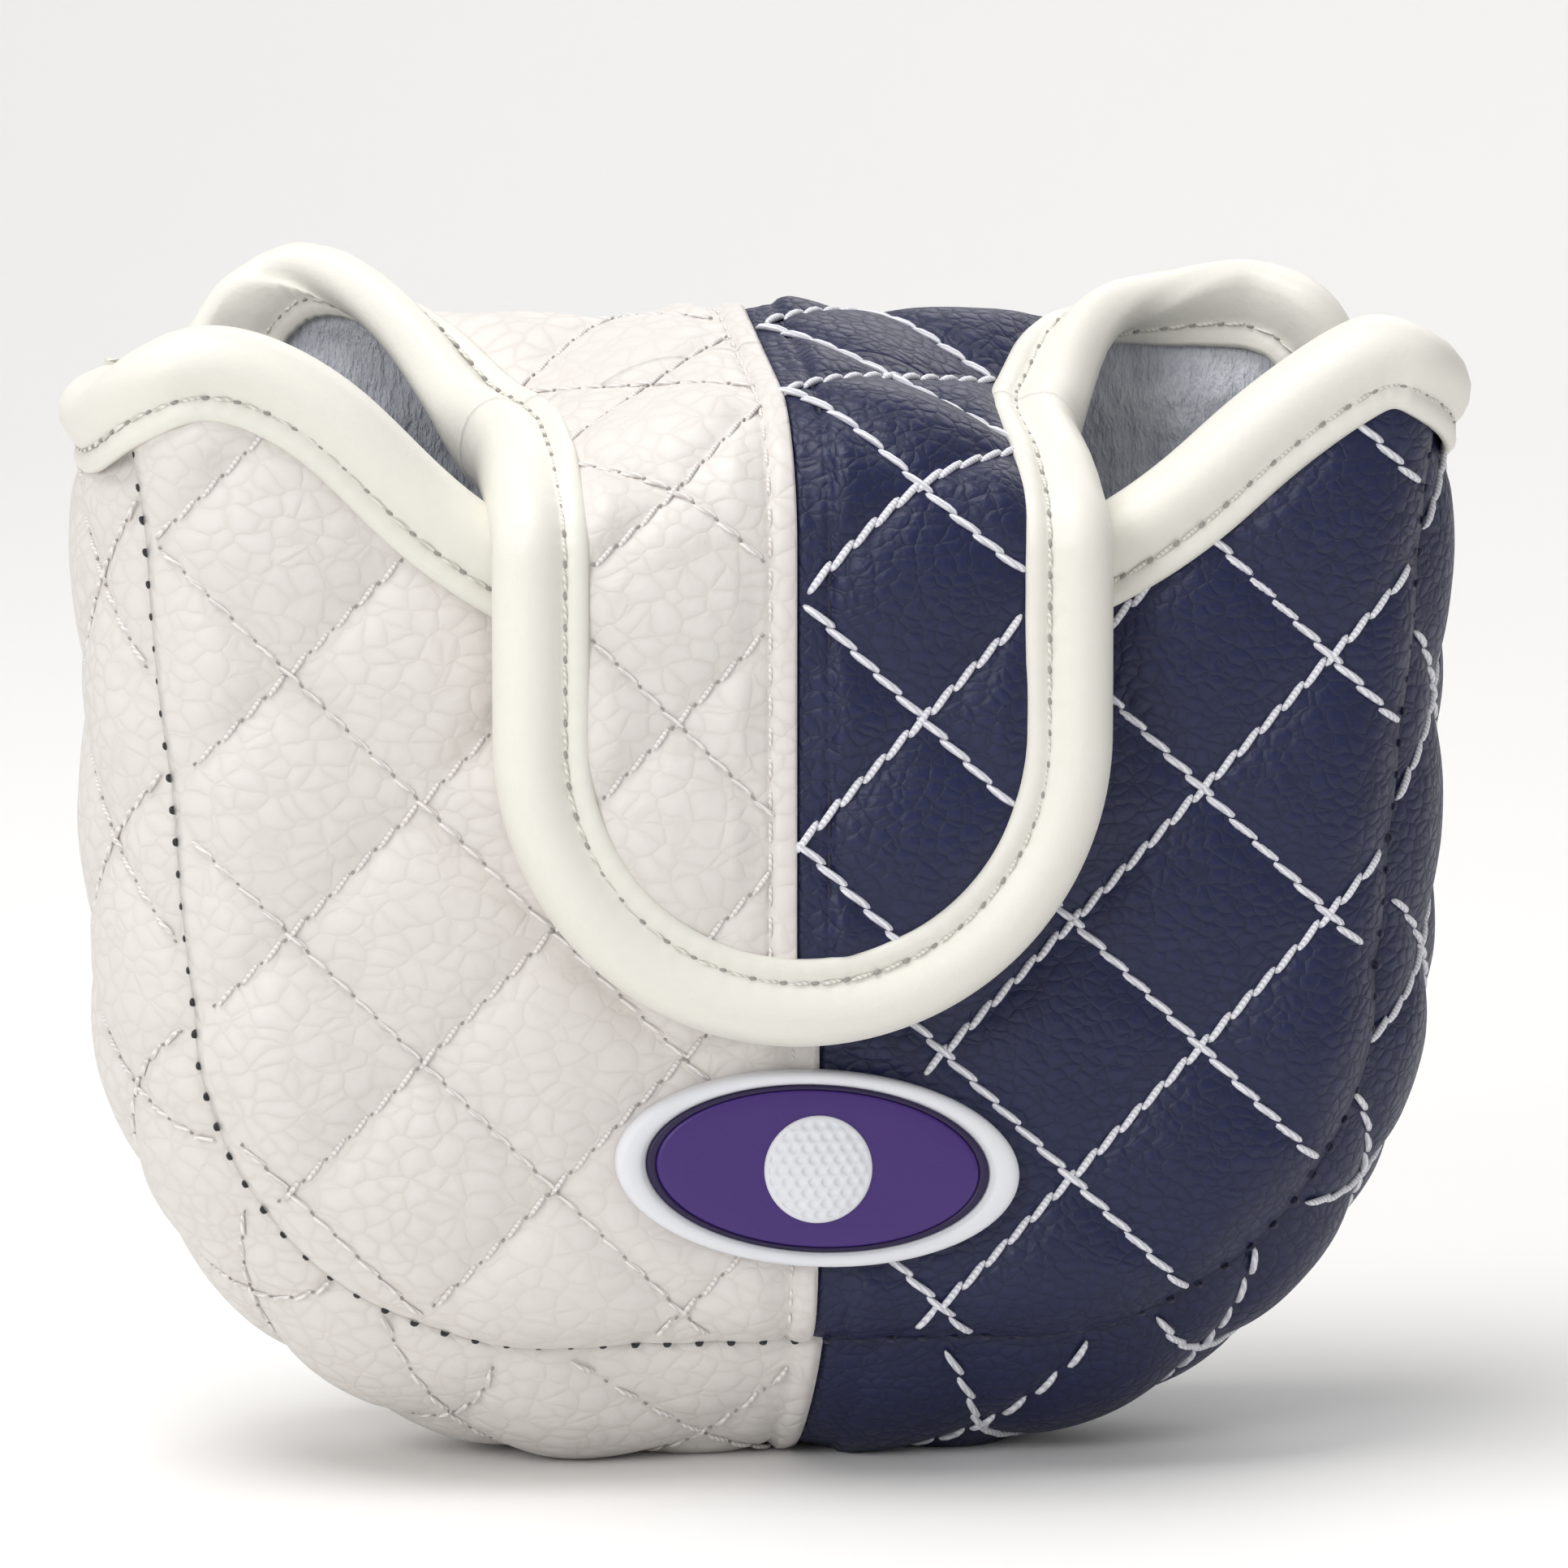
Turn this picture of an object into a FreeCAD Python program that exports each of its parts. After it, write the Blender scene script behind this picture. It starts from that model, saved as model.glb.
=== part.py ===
"""Mallet putter head cover: a quilted pouch with a padded flap that folds over its mouth.

Frame: X to the right, Y to the back, Z up. The origin is on the ground under the middle of the cover,
and the front panel faces -Y. The left half is white and the right half is navy.
"""

import FreeCAD, Part

import math
import os
import re

import Sketcher
from FreeCAD import Vector

SIZES = [
    ("seam_depth", 38, "front panel seam to back panel seam, the width of the gusset strip"),
    ("skin", 1, "outer leather thickness"),
    ("foam", 3.5, "padding thickness"),
    ("lining", 1.5, "plush lining thickness"),
    ("panel_half_top", 62.5, "half width of the panels at the top corner"),
    ("panel_half_low", 57, "half width of the panels above the bottom corners"),
    ("panel_bottom", 14, "height of the panels' bottom seam"),
    ("panel_corner", 34, "bottom corner radius of the panels"),
    ("belly_half_top", 66, "half width of the gusset's bulge at the top"),
    ("belly_half_low", 65, "half width of the gusset's bulge above the bottom corners"),
    ("belly_corner", 50, "bottom corner radius of the gusset's bulge"),
    ("belly_share", 0.45, "share of the gusset's width that bulges fully"),
    ("foot_trim", 1, "how far the bulge is pressed flat where it stands"),
    ("gusset_top", 105, "height of the gusset's top edge and of the panels' corners"),
    ("rim_middle", 87, "height of the front rim under the flap"),
    ("rim_knee", 93.5, "height of the front rim beside the flap"),
    ("rim_knee_half", 30, "half width of the rim's hollow"),
    ("rim_crest", 109, "height of the front rim near its corners"),
    ("rim_crest_half", 54, "half distance between the rim's crests"),
    ("wing_crest", 114, "height of the back panel's wings"),
    ("wing_crest_half", 46, "half distance between the wings' crests"),
    ("wing_round", 12, "radius of a wing's crest"),
    ("wing_reach", 9, "half width of a wing's rounded crest"),
    ("wing_foot", 101, "height at which a wing meets the slot beside the flap"),
    ("wing_gap", 3, "slot between a wing and the flap's neck"),
    ("seam_side", 2.3, "place of the front panel's and the gusset's colour seam, right of the middle"),
    ("flap_seam", -1, "place of the back panel's and the flap's colour seam, right of the middle"),
    ("neck_half", 28.6, "half width of the flap, and the radius of its round tip"),
    ("fold_height", 95, "height at which the back panel starts to fold forward"),
    ("back_fold", 17, "outer radius of the fold at the back"),
    ("front_fold", 15, "outer radius of the fold at the front"),
    ("bridge_slope", 10, "forward slope of the flap's top, in degrees"),
    ("tongue_gap", 1.5, "clearance of the closed flap from the front rim's binding"),
    ("tongue_tip", 45.4, "height of the flap's tip"),
    ("split_gap", 0.3, "clearance between the flap's sections at a fold"),
    ("binding", 0.9, "binding thickness"),
    ("binding_width", 7.5, "how far the binding reaches from an edge"),
    ("magnet_radius", 8, "closure magnet radius"),
    ("magnet_thick", 1.6, "closure magnet thickness"),
    ("magnet_height", 62, "height of both closure magnets"),
    ("pocket_wall", 0.4, "wall of the fabric pocket round a magnet"),
    ("pocket_gap", 0.1, "clearance of a magnet in its pocket"),
    ("badge_half_wide", 19.5, "half width of the rubber badge"),
    ("badge_half_high", 9.5, "half height of the rubber badge"),
    ("badge_side", 2, "place of the badge, right of the middle"),
    ("badge_height", 31.8, "height of the badge's middle"),
    ("badge_thick", 2.2, "thickness of the badge at its raised rim"),
    ("badge_floor", 1, "thickness of the badge inside its rim"),
    ("badge_rim", 1.6, "width of the badge's raised rim"),
    ("inlay_thick", 0.7, "thickness of the badge's coloured inlay"),
    ("ball_radius", 5.2, "radius of the ball emblem on the badge"),
    ("ball_thick", 0.8, "thickness of the ball emblem"),
]

doc = FreeCAD.newDocument("putter_head_cover")
sheet = doc.addObject("Spreadsheet::Sheet", "Sizes")
for row, (alias, value, note) in enumerate(SIZES, start=1):
    sheet.set(f"A{row}", alias)
    sheet.set(f"B{row}", str(value))
    sheet.set(f"C{row}", note)
    sheet.setAlias(f"B{row}", alias)
doc.recompute()

ALIASES = {alias for alias, _, _ in SIZES}
parts = []


def bound(expression):
    """The expression with the sheet's name put before each of its cells."""
    return re.sub(r"[a-z_]+", lambda m: "Sizes." + m[0] if m[0] in ALIASES else m[0], expression)


def number(expression):
    """The value of an expression on the sheet's cells."""
    return float(sheet.evalExpression(bound(expression)))


def keep(obj, name):
    """Names a finished sub-part and puts it on the list of parts."""
    obj.Label = name
    parts.append((name, obj))
    return obj


# ---- derived places, as expressions on the sheet's cells ----

STACK = "(skin + foam + lining)"
SEAM = "(seam_depth / 2)"
LAYERS = {
    "lining": ("0", "lining"),
    "padding": ("lining", "foam"),
    "skin": ("(lining + foam)", "skin"),
}

# The rim's hollow is an arc through both knees and the middle.
RIM_SAG = "(rim_knee - rim_middle)"
RIM_RADIUS = f"((rim_knee_half ^ 2 + {RIM_SAG} ^ 2) / (2 * {RIM_SAG}))"
RIM_AT_SEAM = f"(rim_middle + {RIM_RADIUS} - sqrt({RIM_RADIUS} ^ 2 - seam_side ^ 2))"

# The flap runs up from the back panel, round the back fold, forward over the mouth, round the front
# fold and down in front of the front panel. Angles are measured from +Y towards +Z, in degrees.
TURN = "(90 + bridge_slope)"
BACK_Y = f"({SEAM} + {STACK} - back_fold)"
TONGUE_BACK = f"({SEAM} + {STACK} + 2 * binding + tongue_gap)"
TONGUE_FRONT = f"({TONGUE_BACK} + {STACK})"
FRONT_Y = f"(front_fold - {TONGUE_FRONT})"
BRIDGE_RUN = f"(({BACK_Y} - {FRONT_Y} + (back_fold - front_fold) * cos({TURN})) / sin({TURN}))"
FRONT_Z = f"(fold_height + (back_fold - front_fold) * sin({TURN}) + {BRIDGE_RUN} * cos({TURN}))"
BACK_SPLIT = f"({TURN} / 2)"
BACK_STEP = "(split_gap / back_fold * 180 / pi)"
FRONT_SPLIT = f"(({TURN} + 180) / 2)"
FRONT_STEP = "(split_gap / front_fold * 180 / pi)"
TIP_CENTRE = "(tongue_tip + neck_half)"


# ---- sketches whose corners and radii are bound to the sheet ----


def arc_middle(start, end, radius, turn):
    """The middle of the shorter arc of that radius; turn 1 is anticlockwise from start to end."""
    chord = end - start
    half = chord.Length / 2
    rise = radius - math.sqrt(max(radius**2 - half**2, 0))
    side = Vector(chord.y, -chord.x, 0).normalize() * turn
    return (start + end) / 2 + side * rise


def outline_edges(corners):
    """The outline's edges, and which end of each one is its start and which its end."""
    points = [Vector(number(c[0]), number(c[1]), 0) for c in corners]
    edges = []
    for i, corner in enumerate(corners):
        start, end = points[i], points[(i + 1) % len(points)]
        if len(corner) == 2:
            edges.append((Part.LineSegment(start, end), (1, 2)))
        elif corner[3] > 0:
            middle = arc_middle(start, end, number(corner[2]), 1)
            edges.append((Part.Arc(start, middle, end), (1, 2)))
        else:
            middle = arc_middle(start, end, number(corner[2]), -1)
            edges.append((Part.Arc(end, middle, start), (2, 1)))
    return edges


def sketch(body, name, plane, offset, corners):
    """A closed outline on one of the body's origin planes, moved along its normal by offset.

    Each corner is (across, up) where the edge that leaves it is straight, and (across, up, radius, turn)
    where it is an arc, anticlockwise for turn 1 and clockwise for turn -1.
    """
    drawn = body.newObject("Sketcher::SketchObject", name)
    planes = [f for f in body.Origin.OriginFeatures if f.Role == plane]
    drawn.AttachmentSupport = [(planes[0], "")]
    drawn.MapMode = "FlatFace"
    drawn.setExpression("AttachmentOffset.Base.z", bound(offset))
    edges = outline_edges(corners)
    for curve, _ in edges:
        drawn.addGeometry(curve, False)
    for i, corner in enumerate(corners):
        after = (i + 1) % len(corners)
        first, last = edges[i][1]
        drawn.addConstraint(Sketcher.Constraint("Coincident", i, last, after, edges[after][1][0]))
        for kind, expression in (("DistanceX", corner[0]), ("DistanceY", corner[1])):
            made = drawn.addConstraint(Sketcher.Constraint(kind, i, first, number(expression)))
            drawn.setExpression(f"Constraints[{made}]", bound(expression))
        if len(corner) > 2:
            made = drawn.addConstraint(Sketcher.Constraint("Radius", i, number(corner[2])))
            drawn.setExpression(f"Constraints[{made}]", bound(corner[2]))
    return drawn


def pad(body, name, plane, start, length, corners):
    """A pad along the plane's normal, from start over length."""
    feature = body.newObject("PartDesign::Pad", name)
    feature.Profile = sketch(body, name + "_outline", plane, start, corners)
    feature.setExpression("Length", bound(length))
    body.Tip = feature
    return feature


def mirrored(path):
    """A path on the right, mirrored to the left and walked the other way. The last corner has no edge."""
    flipped = []
    for i in range(len(path) - 1, -1, -1):
        edge = path[i - 1][2:] if i else ()
        flipped.append((f"-({path[i][0]})", path[i][1], *edge))
    return flipped


# ---- outlines, seen from the front ----

SIDE = [
    ("(panel_half_low - panel_corner)", "panel_bottom", "panel_corner", 1),
    ("panel_half_low", "(panel_bottom + panel_corner)"),
    ("panel_half_top", "gusset_top"),
]
FRONT_PATH = [*SIDE, ("rim_crest_half", "rim_crest"), ("rim_knee_half", "rim_knee")]
WING_SHOULDER = "(wing_crest - wing_round + sqrt(wing_round ^ 2 - wing_reach ^ 2))"
BACK_PATH = [
    *SIDE,
    ("(wing_crest_half + wing_reach)", WING_SHOULDER, "wing_round", 1),
    ("(wing_crest_half - wing_reach)", WING_SHOULDER),
    ("(neck_half + wing_gap)", "wing_foot"),
    ("(neck_half + wing_gap)", "fold_height"),
]
TONGUE_PATH = [("neck_half", TIP_CENTRE), ("neck_half", FRONT_Z)]
RIM_ARC = (RIM_RADIUS, -1)
TIP_AT_SEAM = f"({TIP_CENTRE} - sqrt(neck_half ^ 2 - flap_seam ^ 2))"


def with_edge(path, *edge):
    """The path with an arc leaving its last corner."""
    return [*path[:-1], (*path[-1][:2], *edge)]


OUTLINES = {
    "front": {
        "whole": with_edge(FRONT_PATH, *RIM_ARC) + mirrored(FRONT_PATH),
        "navy": [("seam_side", "panel_bottom")]
        + with_edge(FRONT_PATH, *RIM_ARC)
        + [("seam_side", RIM_AT_SEAM)],
        "white": [("seam_side", RIM_AT_SEAM, *RIM_ARC)]
        + mirrored(FRONT_PATH)
        + [("seam_side", "panel_bottom")],
    },
    "back": {
        "whole": BACK_PATH + mirrored(BACK_PATH),
        "navy": [("flap_seam", "panel_bottom")] + BACK_PATH + [("flap_seam", "fold_height")],
        "white": [("flap_seam", "fold_height")]
        + mirrored(BACK_PATH)
        + [("flap_seam", "panel_bottom")],
    },
    "tongue": {
        "whole": TONGUE_PATH
        + mirrored(TONGUE_PATH)[:-1]
        + [("-neck_half", TIP_CENTRE, "neck_half", 1), ("0", "tongue_tip", "neck_half", 1)],
        "navy": TONGUE_PATH + [("flap_seam", FRONT_Z), ("flap_seam", TIP_AT_SEAM, "neck_half", 1)],
        "white": [("flap_seam", FRONT_Z)]
        + mirrored(TONGUE_PATH)[:-1]
        + [("-neck_half", TIP_CENTRE, "neck_half", 1), ("flap_seam", TIP_AT_SEAM)],
    },
}


def on_arc(centre_y, centre_z, radius, angle):
    """A corner at that angle round a fold's centre, in the YZ plane."""
    return (f"({centre_y} + {radius} * cos({angle}))", f"({centre_z} + {radius} * sin({angle}))")


def layer_radii(fold, deep, thick):
    """The inner and outer radius of a layer at a fold; deep is its distance from the stack's inside."""
    inner = f"({fold} - {STACK} + {deep})"
    return inner, f"({inner} + {thick})"


def fold_profile(section, deep, thick):
    """The side profile of one layer of a section of the flap: neck, bridge or tongue."""
    a, b = layer_radii("back_fold", deep, thick)
    c, d = layer_radii("front_fold", deep, thick)
    back = (BACK_Y, "fold_height")
    front = (FRONT_Y, FRONT_Z)
    if section == "neck":
        return [
            on_arc(*back, a, "0"),
            (*on_arc(*back, b, "0"), b, 1),
            on_arc(*back, b, BACK_SPLIT),
            (*on_arc(*back, a, BACK_SPLIT), a, -1),
        ]
    if section == "tongue":
        start = f"({FRONT_SPLIT} + {FRONT_STEP})"
        return [
            (*on_arc(*front, d, start), d, 1),
            on_arc(*front, d, "180"),
            (*on_arc(*front, c, "180"), c, -1),
            on_arc(*front, c, start),
        ]
    start = f"({BACK_SPLIT} + {BACK_STEP})"
    return [
        (*on_arc(*back, b, start), b, 1),
        on_arc(*back, b, TURN),
        (*on_arc(*front, d, TURN), d, 1),
        on_arc(*front, d, FRONT_SPLIT),
        (*on_arc(*front, c, FRONT_SPLIT), c, -1),
        on_arc(*front, c, TURN),
        (*on_arc(*back, a, TURN), a, -1),
        on_arc(*back, a, start),
    ]


SPANS = {
    "whole": ("-neck_half", "2 * neck_half"),
    "navy": ("flap_seam", "neck_half - flap_seam"),
    "white": ("-neck_half", "neck_half + flap_seam"),
}
# How far along -Y each panel's inside starts, and which way its layers build up.
PANELS = {"front": (SEAM, 1), "back": (f"-{SEAM}", -1), "tongue": (TONGUE_BACK, 1)}


def panel_layer(name, panel, half, layer, section=None):
    """One layer of a panel, with the stretch of the flap's fold that belongs to it."""
    body = doc.addObject("PartDesign::Body", name)
    deep, thick = LAYERS[layer]
    inside, way = PANELS[panel]
    start = f"{inside} + {deep}" if way > 0 else f"{inside} - {deep} - {thick}"
    pad(body, name + "_flat", "XZ_Plane", start, thick, OUTLINES[panel][half])
    if section:
        fold_layer(body, half, layer, section)
    return body


def fold_layer(body, half, layer, section):
    """The stretch of a layer that runs round the flap's folds, as a pad along X."""
    start, length = SPANS[half]
    profile = fold_profile(section, *LAYERS[layer])
    return pad(body, body.Name + "_fold", "YZ_Plane", start, length, profile)


def bridge_layer(name, half, layer):
    """One layer of the flap's top, between its two folds."""
    body = doc.addObject("PartDesign::Body", name)
    fold_layer(body, half, layer, "bridge")
    return body


# ---- closure magnets in their fabric pockets ----


def disc(name, radius, thick, front, side, height):
    """A cylinder along +Y, at X = side and Z = height, whose front face is at Y = front."""
    made = doc.addObject("Part::Cylinder", name)
    made.setExpression("Radius", bound(radius))
    made.setExpression("Height", bound(thick))
    made.Placement = FreeCAD.Placement(Vector(0, 0, 0), FreeCAD.Rotation(Vector(1, 0, 0), -90))
    made.setExpression("Placement.Base.x", bound(side))
    made.setExpression("Placement.Base.y", bound(front))
    made.setExpression("Placement.Base.z", bound(height))
    return made


def cut(name, base, tool):
    made = doc.addObject("Part::Cut", name)
    made.Base = base
    made.Tool = tool
    return made


POCKET_RADIUS = "(magnet_radius + pocket_gap + pocket_wall)"
POCKET_THICK = "(magnet_thick + 2 * (pocket_gap + pocket_wall))"


def magnet(name, foam_middle):
    """A magnet and its closed fabric pocket, in the middle of the padding at Y = foam_middle."""
    room = "(magnet_thick + 2 * pocket_gap)"
    place = ("0", "magnet_height")
    pocket = (POCKET_RADIUS, POCKET_THICK, f"{foam_middle} - {POCKET_THICK} / 2", *place)
    outside = disc(name + "_pocket_outside", *pocket)
    gap_front = f"{foam_middle} - {room} / 2"
    inside = disc(name + "_pocket_inside", "magnet_radius + pocket_gap", room, gap_front, *place)
    keep(cut(name + "_pocket", outside, inside), name + "_pocket")
    magnet_front = f"{foam_middle} - magnet_thick / 2"
    keep(disc(name, "magnet_radius", "magnet_thick", magnet_front, *place), name)
    return disc(name + "_room", *pocket)


# ---- flat panels and the flap ----

HALVES = ("white", "navy")
FRONT_FOAM = f"(-{SEAM} - lining - foam / 2)"
TONGUE_FOAM = f"(-{TONGUE_BACK} - lining - foam / 2)"

for colour in HALVES:
    keep(panel_layer(f"front_panel_{colour}", "front", colour, "skin"), f"front_panel_{colour}")
    keep(panel_layer(f"back_panel_{colour}", "back", colour, "skin", "neck"), f"back_panel_{colour}")
    keep(bridge_layer(f"flap_top_{colour}", colour, "skin"), f"flap_top_{colour}")
    keep(panel_layer(f"flap_tongue_{colour}", "tongue", colour, "skin", "tongue"), f"flap_tongue_{colour}")

keep(panel_layer("front_panel_lining", "front", "whole", "lining"), "front_panel_lining")
keep(panel_layer("back_panel_padding", "back", "whole", "padding", "neck"), "back_panel_padding")
keep(panel_layer("back_panel_lining", "back", "whole", "lining", "neck"), "back_panel_lining")
keep(bridge_layer("flap_top_padding", "whole", "padding"), "flap_top_padding")
keep(bridge_layer("flap_top_lining", "whole", "lining"), "flap_top_lining")
keep(panel_layer("flap_tongue_lining", "tongue", "whole", "lining", "tongue"), "flap_tongue_lining")
front_foam = panel_layer("front_foam", "front", "whole", "padding")
tongue_foam = panel_layer("tongue_foam", "tongue", "whole", "padding", "tongue")
pouch_room = magnet("pouch_magnet", FRONT_FOAM)
flap_room = magnet("flap_magnet", TONGUE_FOAM)
keep(cut("front_panel_padding", front_foam, pouch_room), "front_panel_padding")
keep(cut("flap_tongue_padding", tongue_foam, flap_room), "flap_tongue_padding")


# ---- rubber badge ----

BADGE_BACK = f"(-{SEAM} - {STACK})"


def oval(name, half_wide, half_high, thick, back):
    """An upright oval plate whose back face is at Y = back."""
    edge = doc.addObject("Part::Ellipse", name + "_edge")
    edge.setExpression("MajorRadius", bound(half_wide))
    edge.setExpression("MinorRadius", bound(half_high))
    edge.Placement = FreeCAD.Placement(Vector(0, 0, 0), FreeCAD.Rotation(Vector(1, 0, 0), 90))
    edge.setExpression("Placement.Base.x", bound("badge_side"))
    edge.setExpression("Placement.Base.y", bound(back))
    edge.setExpression("Placement.Base.z", bound("badge_height"))
    plate = doc.addObject("Part::Extrusion", name)
    plate.Base = edge
    plate.DirMode = "Custom"
    plate.Dir = Vector(0, -1, 0)
    plate.Solid = True
    plate.setExpression("LengthFwd", bound(thick))
    return plate


badge_plate = oval("badge_plate", "badge_half_wide", "badge_half_high", "badge_thick", BADGE_BACK)
badge_floor = f"({BADGE_BACK} - badge_floor)"
hollow = ("badge_half_wide - badge_rim", "badge_half_high - badge_rim")
badge_hollow = oval("badge_hollow", *hollow, "badge_thick", badge_floor)
keep(cut("badge_base", badge_plate, badge_hollow), "badge_base")
keep(oval("badge_inlay", *hollow, "inlay_thick", badge_floor), "badge_inlay")
ball_back = f"{badge_floor} - inlay_thick"
ball_front = f"{ball_back} - ball_thick"
ball_place = ("badge_side", "badge_height")
keep(disc("badge_ball", "ball_radius", "ball_thick", ball_front, *ball_place), "badge_ball")


# ---- the gusset: a bulging strip round the sides and the bottom ----


def ring_wire(half_top, half_low, bottom, radius, inset, y):
    """A closed upright outline at depth y: flat bottom, round corners, leaning sides, flat top."""
    high = number("wing_crest")
    r = radius - inset
    low, top, base = half_low - inset, half_top - inset, bottom + inset
    flat, reach = low - r, r * math.sqrt(0.5)
    swell = base + r - reach
    right = Part.Arc(Vector(flat, y, base), Vector(flat + reach, y, swell), Vector(low, y, base + r))
    left = Part.Arc(Vector(-low, y, base + r), Vector(-flat - reach, y, swell), Vector(-flat, y, base))
    edges = [
        Part.makeLine(Vector(-flat, y, base), Vector(flat, y, base)),
        right.toShape(),
        Part.makeLine(Vector(low, y, base + r), Vector(top, y, high)),
        Part.makeLine(Vector(top, y, high), Vector(-top, y, high)),
        Part.makeLine(Vector(-top, y, high), Vector(-low, y, base + r)),
        left.toShape(),
    ]
    return Part.Wire(edges)


def box(low, high):
    """A box from its lowest corner to its highest."""
    return Part.makeBox(high[0] - low[0], high[1] - low[1], high[2] - low[2], Vector(*low))


FAR = 300.0


def barrel(inset):
    """The pouch's space between the panel seams, inset by that much, pressed flat underneath."""
    seam = number(SEAM)
    panel = [number(n) for n in ("panel_half_top", "panel_half_low", "panel_bottom", "panel_corner")]
    belly = [number(n) for n in ("belly_half_top", "belly_half_low", "-foot_trim", "belly_corner")]
    full = seam * number("belly_share")
    wires = [
        ring_wire(*outline, inset, y)
        for outline, y in ((panel, -seam), (belly, -full), (belly, full), (panel, seam))
    ]
    solid = Part.makeLoft(wires, True, False)
    return solid.common(box((-FAR, -FAR, inset), (FAR, FAR, FAR)))


def part_feature(name, shape):
    """A sub-part whose shape is made from Part's own functions."""
    made = doc.addObject("Part::Feature", name)
    made.Shape = shape.removeSplitter()
    return keep(made, name)


def below(height):
    return box((-FAR, -FAR, -FAR), (FAR, FAR, height))


def side_of(colour):
    """The space on the white or the navy side of the colour seam."""
    seam_side = number("seam_side")
    if colour == "navy":
        return box((seam_side, -FAR, -FAR), (FAR, FAR, FAR))
    return box((-FAR, -FAR, -FAR), (seam_side, FAR, FAR))


def only_solid(shape):
    """The shape's one solid, or the shape itself if it has several."""
    return shape.Solids[0] if len(shape.Solids) == 1 else shape


depths = [0, number("skin"), number("skin + foam"), number(STACK)]
barrels = [barrel(inset) for inset in depths]
gusset_layers = [
    only_solid(outer.cut(inner).common(below(number("gusset_top"))))
    for outer, inner in zip(barrels, barrels[1:])
]
for colour in HALVES:
    part_feature(f"gusset_{colour}", only_solid(gusset_layers[0].common(side_of(colour))))
part_feature("gusset_padding", gusset_layers[1])
part_feature("gusset_lining", gusset_layers[2])


# ---- bindings: a folded band over each free edge ----


def flat_face(corners):
    """The outline as a face in the XZ plane, at Y = 0."""
    edges = [curve.toShape() for curve, _ in outline_edges(corners)]
    wire = Part.Wire(Part.sortEdges(edges)[0])
    wire.rotate(Vector(0, 0, 0), Vector(1, 0, 0), 90)
    return Part.Face(wire)


def slab(face, y_low, y_high):
    """The face in the XZ plane as a plate from y_low to y_high."""
    moved = face.copy()
    moved.translate(Vector(0, y_low, 0))
    return moved.extrude(Vector(0, y_high - y_low, 0))


def fold_solid(section, deep, thick, x_low, x_high):
    """A stretch of the flap's fold, from x_low to x_high."""
    edges = [curve.toShape() for curve, _ in outline_edges(fold_profile(section, deep, thick))]
    wire = Part.Wire(Part.sortEdges(edges)[0])
    turn = FreeCAD.Placement(Vector(x_low, 0, 0), FreeCAD.Rotation(Vector(1, 1, 1), 120))
    wire.transformShape(turn.toMatrix())
    return Part.Face(wire).extrude(Vector(x_high - x_low, 0, 0))


band = number("binding")
reach = number("binding_width")
stack = number(STACK)
neck = number("neck_half")
seam = number(SEAM)
FAT_FOLD = ("-binding", f"({STACK} + 2 * binding)")


def edge_band(face, y_low, y_high):
    """A plate over the strip along a face's edge, a binding's thickness proud of it all round."""
    grown = face.makeOffset2D(band)
    shrunk = face.makeOffset2D(-reach)
    return slab(grown.cut(shrunk), y_low - band, y_high + band)


def fold_bands(section):
    """The left and right edge strips of a section of the flap's fold."""
    left = fold_solid(section, *FAT_FOLD, -neck - band, -neck + reach)
    right = fold_solid(section, *FAT_FOLD, neck - reach, neck + band)
    return left, right


front_face = flat_face(OUTLINES["front"]["whole"])
back_face = flat_face(OUTLINES["back"]["whole"])
tongue_face = flat_face(OUTLINES["tongue"]["whole"])
front_stack = slab(front_face, -seam - stack, -seam)
back_stack = slab(back_face, seam, seam + stack)
tongue_back = -number(TONGUE_BACK)
tongue_stack = slab(tongue_face, tongue_back - stack, tongue_back)
gusset_stack = barrels[0].cut(barrels[3]).common(below(number("gusset_top")))
neck_stack, bridge_stack, tongue_fold_stack = (
    fold_solid(section, "0", STACK, -neck, neck) for section in ("neck", "bridge", "tongue")
)

mouth_top = number("gusset_top")
top_zone = box((-FAR, -FAR, mouth_top - reach), (FAR, FAR, FAR))
mouth_half = number("panel_half_low") - reach - 1
rim_zone = box((-mouth_half, -FAR, number("rim_middle") - 2 * reach), (mouth_half, FAR, FAR))
rim_zone = rim_zone.fuse(top_zone)
gusset_band = barrel(-band).cut(barrel(stack + band))
gusset_band = gusset_band.common(box((-FAR, -FAR, mouth_top - reach), (FAR, FAR, mouth_top + band)))
rim = edge_band(front_face, -seam - stack, -seam).common(rim_zone).fuse(gusset_band)
rim = rim.cut(front_stack).cut(gusset_stack).cut(back_stack)
front_rim = only_solid(rim)
part_feature("front_rim_binding", front_rim)

wing_band = edge_band(back_face, seam, seam + stack)
wing_low = number("fold_height") - reach
for side, neck_band in zip(("left", "right"), fold_bands("neck")):
    zone = box((neck - reach, -FAR, wing_low), (FAR, FAR, FAR))
    beside_slot = number("neck_half + wing_gap + binding_width")
    zone = zone.cut(box((beside_slot, -FAR, -FAR), (FAR, FAR, mouth_top - reach)))
    if side == "left":
        zone = zone.mirror(Vector(0, 0, 0), Vector(1, 0, 0))
    wing = wing_band.common(zone).fuse(neck_band)
    wing = wing.cut(back_stack).cut(neck_stack).cut(gusset_stack).cut(front_rim)
    part_feature(f"wing_binding_{side}", only_solid(wing))

for side, bridge_band in zip(("left", "right"), fold_bands("bridge")):
    part_feature(f"flap_top_binding_{side}", only_solid(bridge_band.cut(bridge_stack)))

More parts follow.
